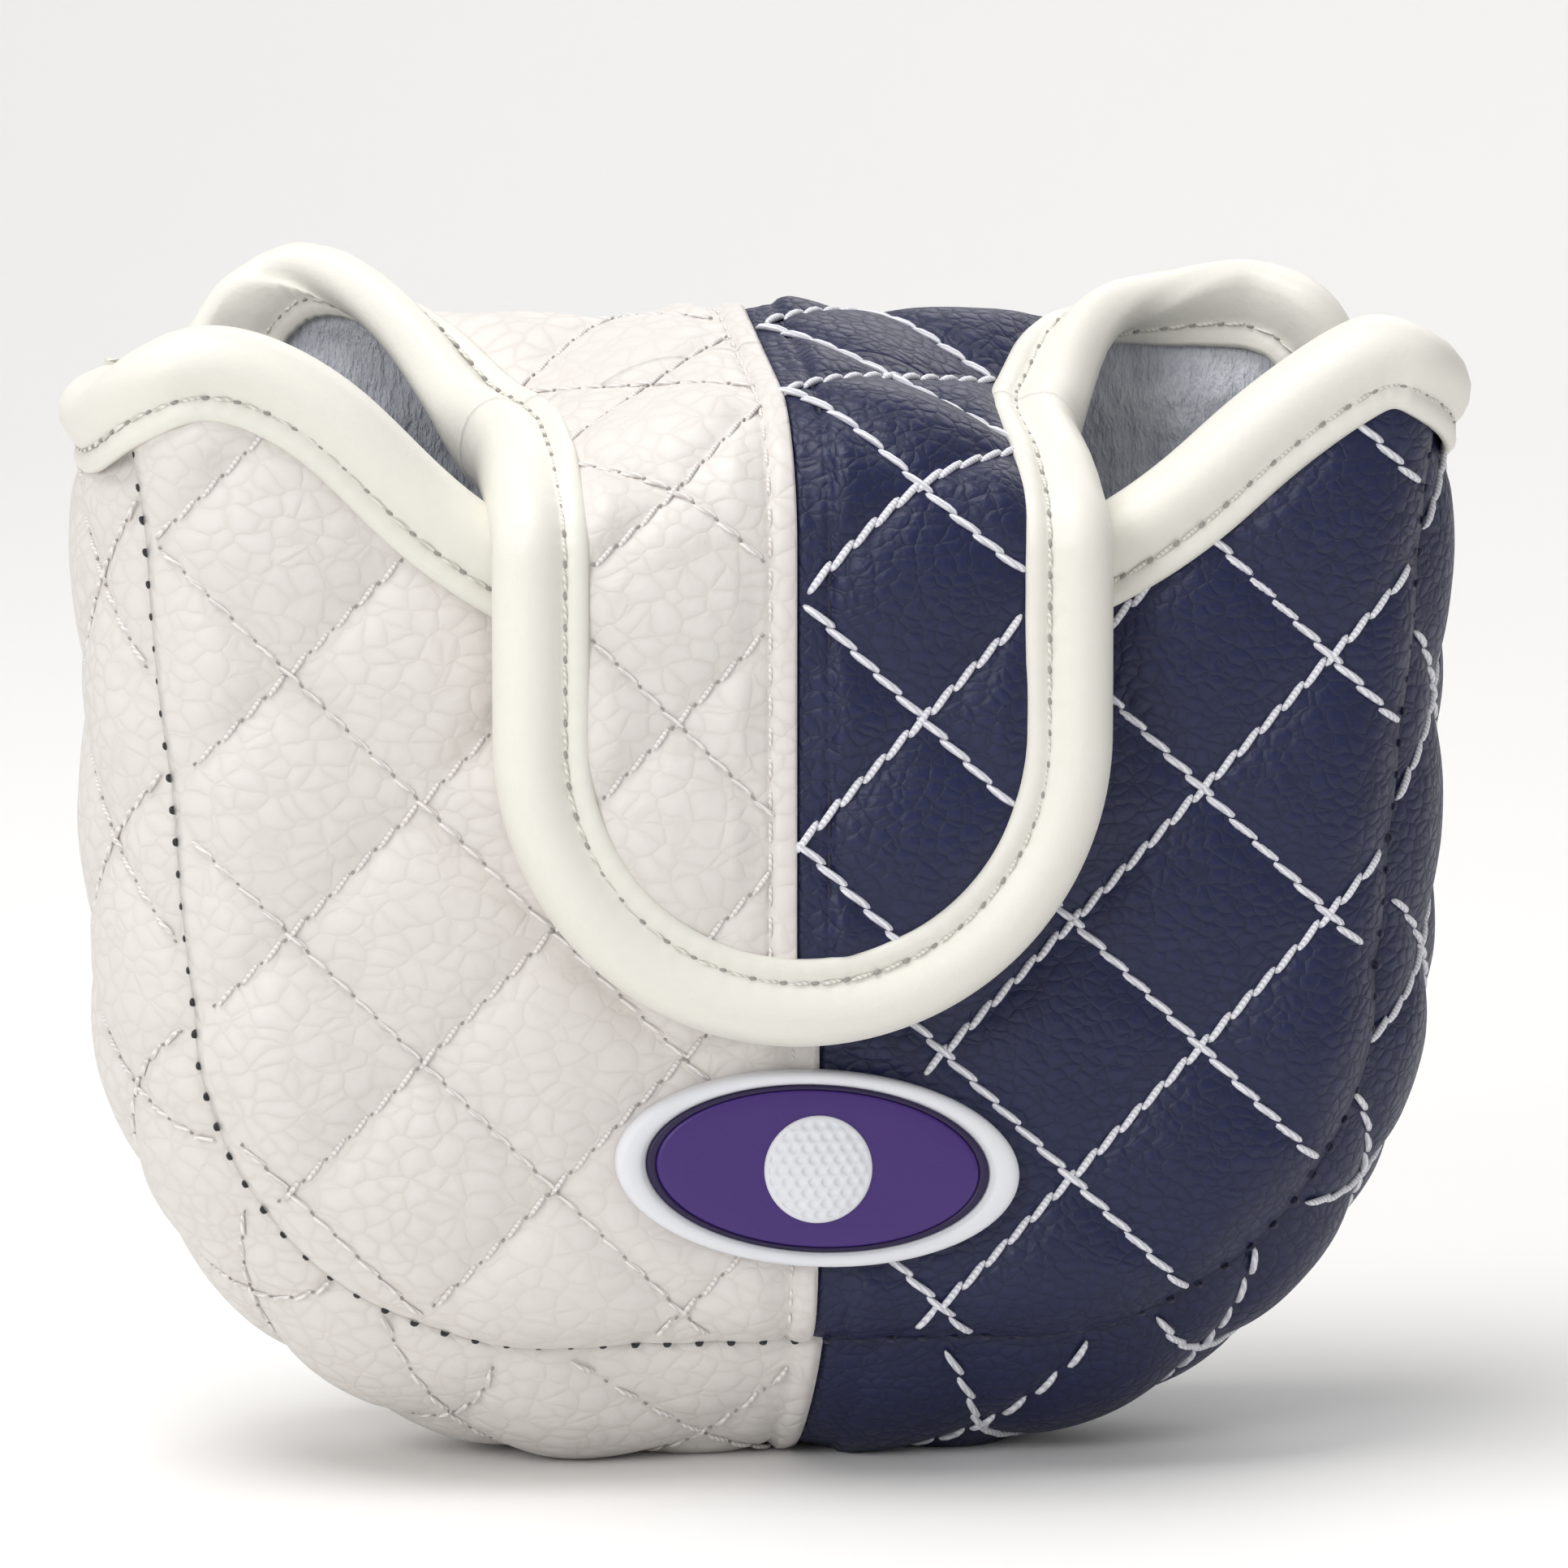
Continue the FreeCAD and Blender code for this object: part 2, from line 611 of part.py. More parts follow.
tongue_zone = box((-FAR, -FAR, -FAR), (FAR, FAR, number(FRONT_Z)))
tongue_band = edge_band(tongue_face, tongue_back - stack, tongue_back).common(tongue_zone)
cover = box((-neck + reach, -FAR, number(f"{FRONT_Z} - binding_width")), (neck - reach, FAR, FAR))
tongue_band = tongue_band.cut(cover)
for fold_band in fold_bands("tongue"):
    tongue_band = tongue_band.fuse(fold_band)
tongue_band = tongue_band.cut(tongue_stack).cut(tongue_fold_stack)
part_feature("flap_tongue_binding", only_solid(tongue_band))

# ---- checks, and one file for each sub-part ----

doc.recompute()
for obj in doc.Objects:
    if "Invalid" in obj.State or "Error" in obj.State:
        raise ValueError(f"{obj.Name} did not build: {obj.State}")

os.makedirs("parts", exist_ok=True)
for name, obj in parts:
    shape = obj.Shape
    if shape.isNull() or not shape.isValid() or not shape.Solids:
        raise ValueError(f"{name} has no valid solid")
    shape.exportStep(f"parts/{name}.step")
    span = shape.optimalBoundingBox(True)
    print(f"{name:26} volume {shape.Volume:9.1f} x {span.XMin:7.2f} {span.XMax:7.2f} "
          f"y {span.YMin:7.2f} {span.YMax:7.2f} z {span.ZMin:7.2f} {span.ZMax:7.2f}")
back_axis = (number(f"{BACK_Y} + (back_fold + binding) * cos({BACK_SPLIT} + {BACK_STEP} / 2)"),
             number(f"fold_height + (back_fold + binding) * sin({BACK_SPLIT} + {BACK_STEP} / 2)"))
front_axis = (number(f"{FRONT_Y} + (front_fold + binding) * cos({FRONT_SPLIT} + {FRONT_STEP} / 2)"),
              number(f"{FRONT_Z} + (front_fold + binding) * sin({FRONT_SPLIT} + {FRONT_STEP} / 2)"))
print("fold axes, Y and Z:", [round(v, 3) for v in back_axis], [round(v, 3) for v in front_axis])
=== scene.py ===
"""The looks of the quilted putter cover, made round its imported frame.

Shapes are worked out in millimetres on flat patterns and become metres when a mesh is made. Each
leather panel is a sheet: a function that takes the two coordinates of its flat pattern to a place on
the cover. Skins, linings, bindings and threads all ride on those sheets, at a height above or below.
"""

import math

import bmesh
import bpy
import numpy as np
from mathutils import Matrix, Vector


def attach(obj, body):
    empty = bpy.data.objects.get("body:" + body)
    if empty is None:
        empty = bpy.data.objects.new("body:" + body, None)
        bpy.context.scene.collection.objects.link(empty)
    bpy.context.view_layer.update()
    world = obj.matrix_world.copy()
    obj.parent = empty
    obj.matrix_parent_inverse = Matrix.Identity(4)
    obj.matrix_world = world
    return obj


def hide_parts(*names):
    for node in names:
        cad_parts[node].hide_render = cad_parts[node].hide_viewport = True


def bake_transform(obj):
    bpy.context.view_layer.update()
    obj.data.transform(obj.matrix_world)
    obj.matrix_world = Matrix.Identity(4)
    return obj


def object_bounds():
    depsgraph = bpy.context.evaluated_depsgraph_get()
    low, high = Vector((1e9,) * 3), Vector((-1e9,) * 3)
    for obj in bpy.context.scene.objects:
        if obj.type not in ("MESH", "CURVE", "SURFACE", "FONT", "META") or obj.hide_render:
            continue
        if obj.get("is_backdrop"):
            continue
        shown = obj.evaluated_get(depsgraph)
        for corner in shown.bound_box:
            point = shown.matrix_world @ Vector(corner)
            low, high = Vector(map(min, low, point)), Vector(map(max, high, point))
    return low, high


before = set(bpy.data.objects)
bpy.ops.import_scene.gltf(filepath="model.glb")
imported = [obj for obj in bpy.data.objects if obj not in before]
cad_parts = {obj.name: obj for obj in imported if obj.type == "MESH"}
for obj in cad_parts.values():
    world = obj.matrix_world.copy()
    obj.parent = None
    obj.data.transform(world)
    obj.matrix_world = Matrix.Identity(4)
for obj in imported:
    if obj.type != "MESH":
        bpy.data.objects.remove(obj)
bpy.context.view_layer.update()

MM = 0.001
PITCH = 0.8
EDGE_STEP = 1.0

# The layers, as heights below the leather's face, and the thickness each is given.
STACK = 5.8
PILE = STACK - 0.8
LINING = 1.2
PANEL_SKIN = 2.4
FLAP_SKIN = 1.3

# Sewing: how far apart the threads lie, how far inside a bound edge its line runs and at what heights,
# how far the quilting keeps from a bound edge, from a seam and from the badge.
STITCH = 3.0
QUILT_STITCH = 3.05
SEWN_IN = 5.6
SEWN_HEIGHTS = (("outer", 0.6, 1), ("inner", -6.6, -1))
TAPE_COVER = 7.4
SEAM_CLEAR = 1.2
BADGE_CLEAR = 1.02
WING_END = 7

# ---- the outlines of the flat patterns ----

PANEL = {"top": 62.5, "low": 57.0, "bottom": 14.0, "corner": 34.0}
BELLY = {"top": 66.2, "low": 65.0, "bottom": 0.2, "corner": 50.0}
TOP_Z = 105.0
SEAM_Y = 19.3
PANEL_Y = 24.0
FRONT_SEAM_X = 2.3
FLAP_SEAM_X = -1.0
FLAP_HALF = 28.6

FOLD_Z = 95.0
BACK_R = 16.2
FRONT_R = 14.2
BRIDGE = 27.3
TURN = math.radians(100)
SLOPE = TURN - math.pi / 2
BRIDGE_S = FOLD_Z + BACK_R * TURN
FRONT_S = BRIDGE_S + BRIDGE
TONGUE_S = FRONT_S + FRONT_R * (math.pi - TURN)
TONGUE_Z = 92.2
TIP_S = TONGUE_S + TONGUE_Z - 45.4
ROUND_S = TIP_S - FLAP_HALF
SPLIT_S = BRIDGE_S + 12

FRONT_QUILT = {"x": 26.8, "s": 55.1, "pitch": 25.0 / math.sqrt(2)}
FLAP_QUILT = {"x": -0.7, "s": TONGUE_S + 4.5, "pitch": 23.4 / math.sqrt(2)}
GUSSET_QUILT = {"x": 6.0, "s": 2.0, "pitch": 25.0 / math.sqrt(2)}

LEFT_RIM = [(0, 87.0), (8, 87.0), (16, 88.3), (24, 91.4), (31, 96.0), (35, 99.6), (38.2, 102.8),
            (41.4, 105.9), (46, 109.1), (50.6, 111.2), (54.4, 112.0), (58.2, 111.9), (62, 110.7)]
RIGHT_RIM = [(0, 87.0), (8, 87.0), (16, 88.2), (24, 91.0), (31, 94.4), (37, 98.6), (42, 103.0),
             (47, 106.8), (51, 109.4), (54.8, 111.3), (58.2, 111.9), (62, 110.7)]
LEFT_WING = [(62.5, 105.0), (58.5, 105.2), (55.6, 106.2), (53.2, 109.2), (50.6, 113.0), (46.6, 116.6),
             (42.0, 119.2), (37.6, 121.4), (34.0, 124.6), (31.4, 129.4), (29.6, 135.0), (28.8, 140.0)]
RIGHT_WING = [(62.5, 105.0), (61.0, 107.6), (59.0, 110.4), (56.0, 112.7), (52.0, 113.9), (47.0, 114.6),
              (42.0, 115.6), (37.6, 118.2), (34.0, 122.4), (31.3, 128.0), (29.5, 134.0), (28.7, 140.0)]


def smooth(t):
    """0 below 0, 1 above 1, and three t squared less two t cubed between."""
    t = np.clip(t, 0, 1)
    return t * t * (3 - 2 * t)


def half_width(z, outline):
    """Half the width of a round-cornered outline at height z: a circle's chord in the corner, then a
    straight taper to the top."""
    turn = outline["bottom"] + outline["corner"]
    flat = outline["low"] - outline["corner"]
    below = np.clip(turn - z, 0, outline["corner"])
    side = flat + np.sqrt(outline["corner"] ** 2 - below ** 2)
    return side + (outline["top"] - outline["low"]) * np.clip((z - turn) / (TOP_Z - turn), 0, 1.1)


def outline_depth(x, z, outline):
    """How far a point lies inside a round-cornered outline: the corner's radius less the distance from
    the corner's middle, widened by the taper."""
    turn = outline["bottom"] + outline["corner"]
    flat = outline["low"] - outline["corner"]
    across = np.maximum(np.abs(x) - flat, 0)
    down = np.maximum(turn - z, 0)
    taper = (outline["top"] - outline["low"]) * np.clip((z - turn) / (TOP_Z - turn), 0, 1.1)
    return outline["corner"] - np.hypot(across, down) + taper


def outline_path(outline, steps=160):
    """The outline from the left top corner, down, round and up to the right one, as rows of x and z.
    Both outlines have the same number of points on each side, corner and floor, so they pair up."""
    turn = outline["bottom"] + outline["corner"]
    flat = outline["low"] - outline["corner"]
    t = np.linspace(0, 1, steps)[:, None]
    quarter = t * math.pi / 2
    radius = outline["corner"]
    side = np.hstack([-(outline["top"] + (outline["low"] - outline["top"]) * t),
                      TOP_Z + (turn - TOP_Z) * t])
    corner = np.hstack([-flat - radius * np.cos(quarter), turn - radius * np.sin(quarter)])
    floor = np.hstack([-flat * (1 - t), np.full_like(t, outline["bottom"])])
    left = np.vstack([side, corner[1:], floor[1:]])
    right = left[-2::-1] * (-1, 1)
    return np.vstack([left, right])


def spline(points, steps=14):
    """A curve through the points: Catmull and Rom's cubic between each pair."""
    p = np.array(points, float)
    p = np.vstack([2 * p[0] - p[1], p, 2 * p[-1] - p[-2]])
    t = np.linspace(0, 1, steps, endpoint=False)[:, None]
    runs = []
    for a, b, c, d in zip(p, p[1:], p[2:], p[3:]):
        bend = 2 * a - 5 * b + 4 * c - d
        runs.append(b + t * ((c - a) + t * (bend + t * (3 * b - a - 3 * c + d))) / 2)
    return np.vstack(runs + [p[-2][None]])


def lengths(path):
    """The distance gone along a path at each of its points."""
    return np.concatenate([[0], np.cumsum(np.linalg.norm(np.diff(path, axis=0), axis=1))])


def even(path, step):
    """The path again with its points an even step apart."""
    gone = lengths(path)
    at = np.linspace(0, gone[-1], max(2, int(round(gone[-1] / step)) + 1))
    return np.stack([np.interp(at, gone, path[:, i]) for i in range(path.shape[1])], 1)


def nearest(x, s, path):
    """The distance from each point of a pattern to the nearest point of a path."""
    points = np.stack([np.ravel(x), np.ravel(s)], 1)
    found = np.full(len(points), 1e9)
    for block in np.array_split(even(path, 1.0), 8):
        gap = np.hypot(points[:, None, 0] - block[None, :, 0], points[:, None, 1] - block[None, :, 1])
        found = np.minimum(found, gap.min(1))
    return found.reshape(np.shape(x))


def ripple(x, s, size, seed):
    """A soft uneven swell from -1 to 1: the mean of five slanting sine waves about size apart."""
    draws = np.random.default_rng(seed)
    total = np.zeros(np.shape(x))
    for _ in range(5):
        angle = draws.uniform(0, math.pi)
        phase = draws.uniform(0, 6.28)
        stretch = draws.uniform(0.7, 1.4)
        along = x * math.cos(angle) + s * math.sin(angle)
        total += np.sin(along * 2 * math.pi / (size * stretch) + phase)
    return total / 5


rim_left, rim_right = spline(LEFT_RIM), spline(RIGHT_RIM)
rim_path = np.vstack([rim_left[::-1] * (-1, 1), rim_right[1:]])
panel_path = outline_path(PANEL)
belly_path = outline_path(BELLY)
left_wing = spline(LEFT_WING)
right_wing = spline(RIGHT_WING)
tip_turn = np.linspace(0, math.pi / 2, 60)[:, None]
tip_arc = np.hstack([FLAP_HALF * np.cos(tip_turn), ROUND_S + FLAP_HALF * np.sin(tip_turn)])
side_run = np.array([(FLAP_HALF, 141.0), (FLAP_HALF, ROUND_S - 1)])
edge_right = np.vstack([right_wing, side_run, tip_arc])
edge_left = np.vstack([left_wing, side_run, tip_arc]) * (-1, 1)
edge_path = np.vstack([edge_left, edge_right[-2::-1]])


# ---- the sheets ----

def front_sheet(x, z):
    """The front panel: flat, gently crowned, and rounded back to the seam as the distance from it
    falls, by an exponential."""
    depth = np.maximum(outline_depth(x, z, PANEL), 0)
    y = -PANEL_Y + (PANEL_Y - SEAM_Y) * np.exp(-depth / 2.6) - 0.7 * smooth(depth / 30)
    return np.stack([x, y, z], -1)


gusset_length = lengths(belly_path)
gusset_length -= gusset_length[-1] / 2


def gusset_sheet(s, t):
    """The gusset: s runs along the belly from the left top corner and t from the front seam to the back
    one. Each point lies between the seam's outline and the belly's, by one less a power of t."""
    share = 1 - np.clip(np.abs(t) / SEAM_Y, 0, 1) ** 2.4
    x = np.interp(s, gusset_length, panel_path[:, 0]) * (1 - share)
    x += np.interp(s, gusset_length, belly_path[:, 0]) * share
    z = np.interp(s, gusset_length, panel_path[:, 1]) * (1 - share)
    z += np.interp(s, gusset_length, belly_path[:, 1]) * share
    return np.stack([x, t, z], -1)


def flap_sheet(x, s):
    """The back panel, wings and flap in one. Down the middle, s goes up the back, round a fold, along
    the sloping top, round a second fold and down to the tip. Towards the sides the panel keeps going
    straight up instead, as a wing, and the two are mixed by smooth steps across and along."""
    turn_back = np.clip((s - FOLD_Z) / BACK_R, 0, TURN)
    turn_front = np.clip((s - FRONT_S) / FRONT_R, 0, math.pi - TURN)
    run = np.clip(s - BRIDGE_S, 0, BRIDGE)
    drop = np.maximum(s - TONGUE_S, 0)
    y = PANEL_Y + BACK_R * (np.cos(turn_back) - 1) - run * math.cos(SLOPE)
    y += FRONT_R * (np.cos(TURN + turn_front) - math.cos(TURN))
    z = np.minimum(s, FOLD_Z) + BACK_R * np.sin(turn_back) - run * math.sin(SLOPE)
    z += FRONT_R * (np.sin(TURN + turn_front) - math.sin(TURN)) - drop
    far = np.where(x < 0, 46.0, 52.0)
    near = np.where(x < 0, 25.0, 27.0)
    in_flap = 1 - smooth((np.abs(x) - near) / (far - near))
    in_flap = 1 - (1 - in_flap) * (1 - smooth((s - 112) / 22))
    sag = 7 * smooth(np.abs(x) / 31) * smooth((s - 108) / 22) * (1 - smooth((s - FRONT_S - 4) / 20))
    wing_y = PANEL_Y - 3 * smooth((s - 95) / 20)
    y = wing_y + (y - wing_y) * in_flap
    z = s + (z - sag - s) * in_flap
    depth = np.maximum(outline_depth(x, s, PANEL), 0)
    y -= (PANEL_Y - SEAM_Y) * np.exp(-depth / 2.6) * (1 - smooth((s - 98) / 8))
    return np.stack([x, y, z], -1)


# Each sheet with the sign that turns its normal outwards and the step its normal is measured over.
SHEETS = {"front": (front_sheet, 1, 0.4),
          "gusset": (gusset_sheet, -1, 0.4),
          "flap": (flap_sheet, -1, 2.4)}


def slimness(x, s):
    """How much of the padding's depth is left in the saddles between the wings and the neck, where the
    leather is drawn tight: one less the product of four smooth steps."""
    across = smooth((np.abs(x) - 25) / 8) * (1 - smooth((np.abs(x) - 50) / 8))
    along = smooth((s - 101) / 8) * (1 - smooth((s - 128) / 8))
    return 1 - 0.55 * across * along


def lifted(sheet, a, b, height):
    """Points of a sheet raised along its outward normal, which is the cross product of the sheet's
    steps in a and in b."""
    base, sign, step = SHEETS[sheet]
    a, b = np.broadcast_arrays(np.asarray(a, float), np.asarray(b, float))
    along = base(a + step, b) - base(a - step, b)
    across = base(a, b + step) - base(a, b - step)
    normal = np.cross(along, across) * sign
    normal /= np.maximum(np.linalg.norm(normal, axis=-1, keepdims=True), 1e-9)
    height = np.broadcast_to(np.asarray(height, float), a.shape)
    if sheet == "flap":
        height = np.where(height < 0, height * slimness(a, b), height)
    return base(a, b) + normal * height[..., None]


# ---- the quilting ----

def line_gaps(x, s, quilt):
    """The distances from the nearest quilting line of each of the two slanting families."""
    a = (x - quilt["x"] + s - quilt["s"]) / math.sqrt(2)
    b = (x - quilt["x"] - s + quilt["s"]) / math.sqrt(2)
    pitch = quilt["pitch"]
    return np.abs(a - pitch * np.round(a / pitch)), np.abs(b - pitch * np.round(b / pitch))


def pillow(x, s, quilt, height):
    """The quilted relief: for each family of lines one less a falling exponential of the distance, and
    the two multiplied, so that each square is a soft cushion with sunk edges."""
    first, second = line_gaps(x, s, quilt)
    full = (1 - math.exp(-quilt["pitch"] / 2 / 2.6)) ** 2
    return height * (1 - np.exp(-first / 2.6)) * (1 - np.exp(-second / 2.6)) / full


def seam_relief(gap, white):
    """The height beside the colour seam: on the white side a rolled edge and a sunk line of stitches,
    on the navy side a flat allowance with a crease."""
    if white:
        roll = 0.5 * np.sqrt(np.clip(1 - ((gap - 1.1) / 1.25) ** 2, 0, 1))
        return roll - 0.3 * np.exp(-((gap - 2.5) / 0.4) ** 2)
    return -0.4 * np.exp(-gap / 0.5) - 0.35 * np.exp(-((gap - 3.1) / 0.45) ** 2)


# ---- meshes ----

def quads(rows, cols, wrap=False):
    """The faces between the points of a grid, with the last column joined to the first if it wraps."""
    i = np.arange(rows - 1)[:, None] * cols
    j = np.arange(cols if wrap else cols - 1)[None, :]
    k = (j + 1) % cols
    return np.stack([i + j, i + k, i + cols + k, i + cols + j], -1).reshape(-1, 4)


def shape(name, points, faces, finish):
    """An object with its place in its mesh, smooth-shaded but for its end caps, and a finish."""
    mesh = bpy.data.meshes.new(name)
    points = np.asarray(points, float).reshape(-1, 3).copy()
    points[:, 2] = np.maximum(points[:, 2], 0.02)
    mesh.from_pydata((points * MM).tolist(), [], [list(map(int, f)) for f in faces])
    mesh.update()
    mesh.polygons.foreach_set("use_smooth", np.array([len(f) == 4 for f in faces]))
    mesh.materials.append(finish)
    made = bpy.data.objects.new(name, mesh)
    bpy.context.scene.collection.objects.link(made)
    return made


def facing(points, faces, outward):
    """The faces, turned round if they look away from the outward directions of their points."""
    flat = points.reshape(-1, 3)
    f = np.asarray(faces)
    normal = np.cross(flat[f[:, 1]] - flat[f[:, 0]], flat[f[:, 2]] - flat[f[:, 0]])
    if (normal * outward.reshape(-1, 3)[f[:, 0]]).sum() < 0:
        return f[:, ::-1]
    return f


def thick(made, depth):
    """Gives a sheet of leather its thickness, inwards from its face."""
    wall = made.modifiers.new("thickness", "SOLIDIFY")
    wall.thickness = depth * MM
    wall.offset = -1
    wall.use_even_offset = False
    return made


def cloth(name, sheet, a, b, height, finish, depth, inner=False):
    """A piece of a sheet between its grid's rows and columns, at a height, with a thickness. An inner
    piece faces the other way."""
    points = lifted(sheet, a, b, height)
    outward = points - lifted(sheet, a, b, height - 1)
    if inner:
        outward = -outward
    faces = facing(points, quads(*points.shape[:2]), outward)
    return thick(shape(name, points, faces, finish), depth)


def rings(points):
    """The faces of a tube whose rings are the rows of a grid, with a cap on each end."""
    rows, cols = points.shape[:2]
    faces = quads(rows, cols, wrap=True).tolist()
    faces.append(list(range(cols))[::-1])
    faces.append(list(range((rows - 1) * cols, rows * cols)))
    return faces


def outside(made):
    """Turns every face of a closed piece outwards."""
    work = bmesh.new()
    work.from_mesh(made.data)
    bmesh.ops.recalc_face_normals(work, faces=work.faces)
    work.to_mesh(made.data)
    work.free()
    return made


def stitches(name, places, ways, normals, length, radius, finish, slot, slant=0.0):
    """Threads, each a short capsule: rings of six points whose radius swells in the middle, and whose
    ends dip into the leather. The slant turns each thread a little in the leather's plane."""
    ways = ways / np.linalg.norm(ways, axis=1, keepdims=True)
    normals = normals / np.linalg.norm(normals, axis=1, keepdims=True)
    sides = np.cross(normals, ways)
    turned = ways * math.cos(slant) + sides * math.sin(slant)
    sides = sides * math.cos(slant) - ways * math.sin(slant)
    t = np.array([-1.0, -0.78, -0.35, 0.35, 0.78, 1.0])
    swell = np.array([0.35, 0.82, 1.0, 1.0, 0.82, 0.35]) * radius
    dip = np.array([-0.75, -0.15, 0.2, 0.2, -0.15, -0.75]) * radius
    turn = np.arange(6) * math.pi / 3
    spot = places[:, None, None] + turned[:, None, None] * (t * length / 2)[None, :, None, None]
    spot = spot + normals[:, None, None] * dip[None, :, None, None]
    spot = spot + sides[:, None, None] * (swell[:, None] * np.cos(turn))[None, :, :, None]
    spot = spot + normals[:, None, None] * (swell[:, None] * np.sin(turn))[None, :, :, None]
    one = rings(np.zeros((6, 6, 3)))
    count = len(places)
    tube = np.array([f for f in one if len(f) == 4])
    caps = np.array([f for f in one if len(f) == 6])
    shift = (np.arange(count) * 36)[:, None, None]
    faces = (tube[None] + shift).reshape(-1, 4).tolist() + (caps[None] + shift).reshape(-1, 6).tolist()
    return outside(shape(name, spot, faces, finish))


def on_line(path, normals, pitch, start=0.5):
    """Evenly spaced places on a line in space, with the line's way and the leather's normal there."""
    gone = lengths(path)
    at = np.arange(start * pitch, gone[-1], pitch)
    place = np.stack([np.interp(at, gone, path[:, i]) for i in range(3)], 1)
    ahead = np.stack([np.interp(at + 0.4, gone, path[:, i]) for i in range(3)], 1)
    behind = np.stack([np.interp(at - 0.4, gone, path[:, i]) for i in range(3)], 1)
    normal = np.stack([np.interp(at, gone, normals[:, i]) for i in range(3)], 1)
    return place, ahead - behind, normal


def quilt_places(quilt, low, high, pitch, start=0.0):
    """The middles of the quilting threads inside a rectangle of the pattern: each family's lines are a
    pitch apart, and the threads follow one another along them."""
    found = []
    reach = 400.0
    for way in (1, -1):
        line = np.arange(-40, 41) * quilt["pitch"]
        along = np.arange(-reach, reach, pitch) + start
        line, along = np.meshgrid(line, along, indexing="ij")
        root = math.sqrt(2)
        x = quilt["x"] + (line + along) / root
        s = quilt["s"] + way * (line - along) / root
        inside = (x > low[0]) & (x < high[0]) & (s > low[1]) & (s < high[1])
        direction = np.tile([1 / root, -way / root], (inside.sum(), 1))
        found.append((x[inside], s[inside], direction))
    return [np.concatenate(parts) for parts in zip(*found)]


def quilt_threads(name, sheet, x, s, direction, finish, slot, radius, height, length):
    """Quilting threads on a sheet, at places of its flat pattern."""
    place = lifted(sheet, x, s, height)
    up = lifted(sheet, x, s, height + 1.0) - place
    ahead = lifted(sheet, x + direction[:, 0], s + direction[:, 1], height)
    behind = lifted(sheet, x - direction[:, 0], s - direction[:, 1], height)
    return stitches(name, place, ahead - behind, up, length, radius, finish, slot, slant=0.17)


# ---- finishes ----

class Value:
    """A socket that carries a number, with arithmetic that adds Math nodes."""

    def __init__(self, tree, socket):
        self.tree, self.socket = tree, socket

    def _math(self, operation, first, second):
        node = self.tree.nodes.new("ShaderNodeMath")
        node.operation = operation
        for slot, item in zip(node.inputs, (first, second)):
            if isinstance(item, Value):
                self.tree.links.new(item.socket, slot)
            else:
                slot.default_value = item
        return Value(self.tree, node.outputs[0])

    def __add__(self, other):
        return self._math("ADD", self, other)

    def __radd__(self, other):
        return self._math("ADD", other, self)

    def __sub__(self, other):
        return self._math("SUBTRACT", self, other)

    def __rsub__(self, other):
        return self._math("SUBTRACT", other, self)

    def __mul__(self, other):
        return self._math("MULTIPLY", self, other)

    def __rmul__(self, other):
        return self._math("MULTIPLY", other, self)


class Finish:
    """A material whose nodes are added by type, settings and inputs."""

    def __init__(self, name):
        self.material = bpy.data.materials.new(name)
        self.material.use_nodes = True
        self.tree = self.material.node_tree
        self.shader = self.tree.nodes["Principled BSDF"]

    def node(self, kind, settings, inputs, out=0):
        made = self.tree.nodes.new("ShaderNode" + kind)
        for key, value in settings.items():
            if key == "stops":
                ramp = made.color_ramp
                while len(ramp.elements) < len(value):
                    ramp.elements.new(0.5)
                for stop, (at, colour) in zip(ramp.elements, value):
                    stop.position = at
                    stop.color = (*colour, 1) if len(colour) == 3 else colour
            else:
                setattr(made, key, value)
        for key, value in inputs.items():
            if isinstance(value, Value):
                self.tree.links.new(value.socket, made.inputs[key])
            else:
                made.inputs[key].default_value = value
        return Value(self.tree, made.outputs[out])

    def place(self):
        return self.node("TexCoord", {}, {}, "Object")

    def mix(self, factor, first, second):
        sockets = {0: factor, 6: first if isinstance(first, Value) else (*first, 1),
                   7: second if isinstance(second, Value) else (*second, 1)}
        return self.node("Mix", {"data_type": "RGBA"}, sockets, 2)

    def noise(self, place, scale, detail=2.0, rough=0.5):
        inputs = {"Vector": place, "Scale": scale, "Detail": detail, "Roughness": rough}
        return self.node("TexNoise", {}, inputs, 0)

    def ramp(self, value, stops):
        return self.node("ValToRGB", {"stops": stops}, {"Fac": value}, 0)

    def bump(self, height, strength, distance):
        inputs = {"Height": height, "Strength": strength, "Distance": distance}
        return self.node("Bump", {}, inputs, 0)

    def set(self, **inputs):
        for key, value in inputs.items():
            socket = self.shader.inputs[key.replace("_", " ")]
            if isinstance(value, Value):
                self.tree.links.new(value.socket, socket)
            else:
                socket.default_value = value
        return self.material


def grey(level):
    return (level, level, level)


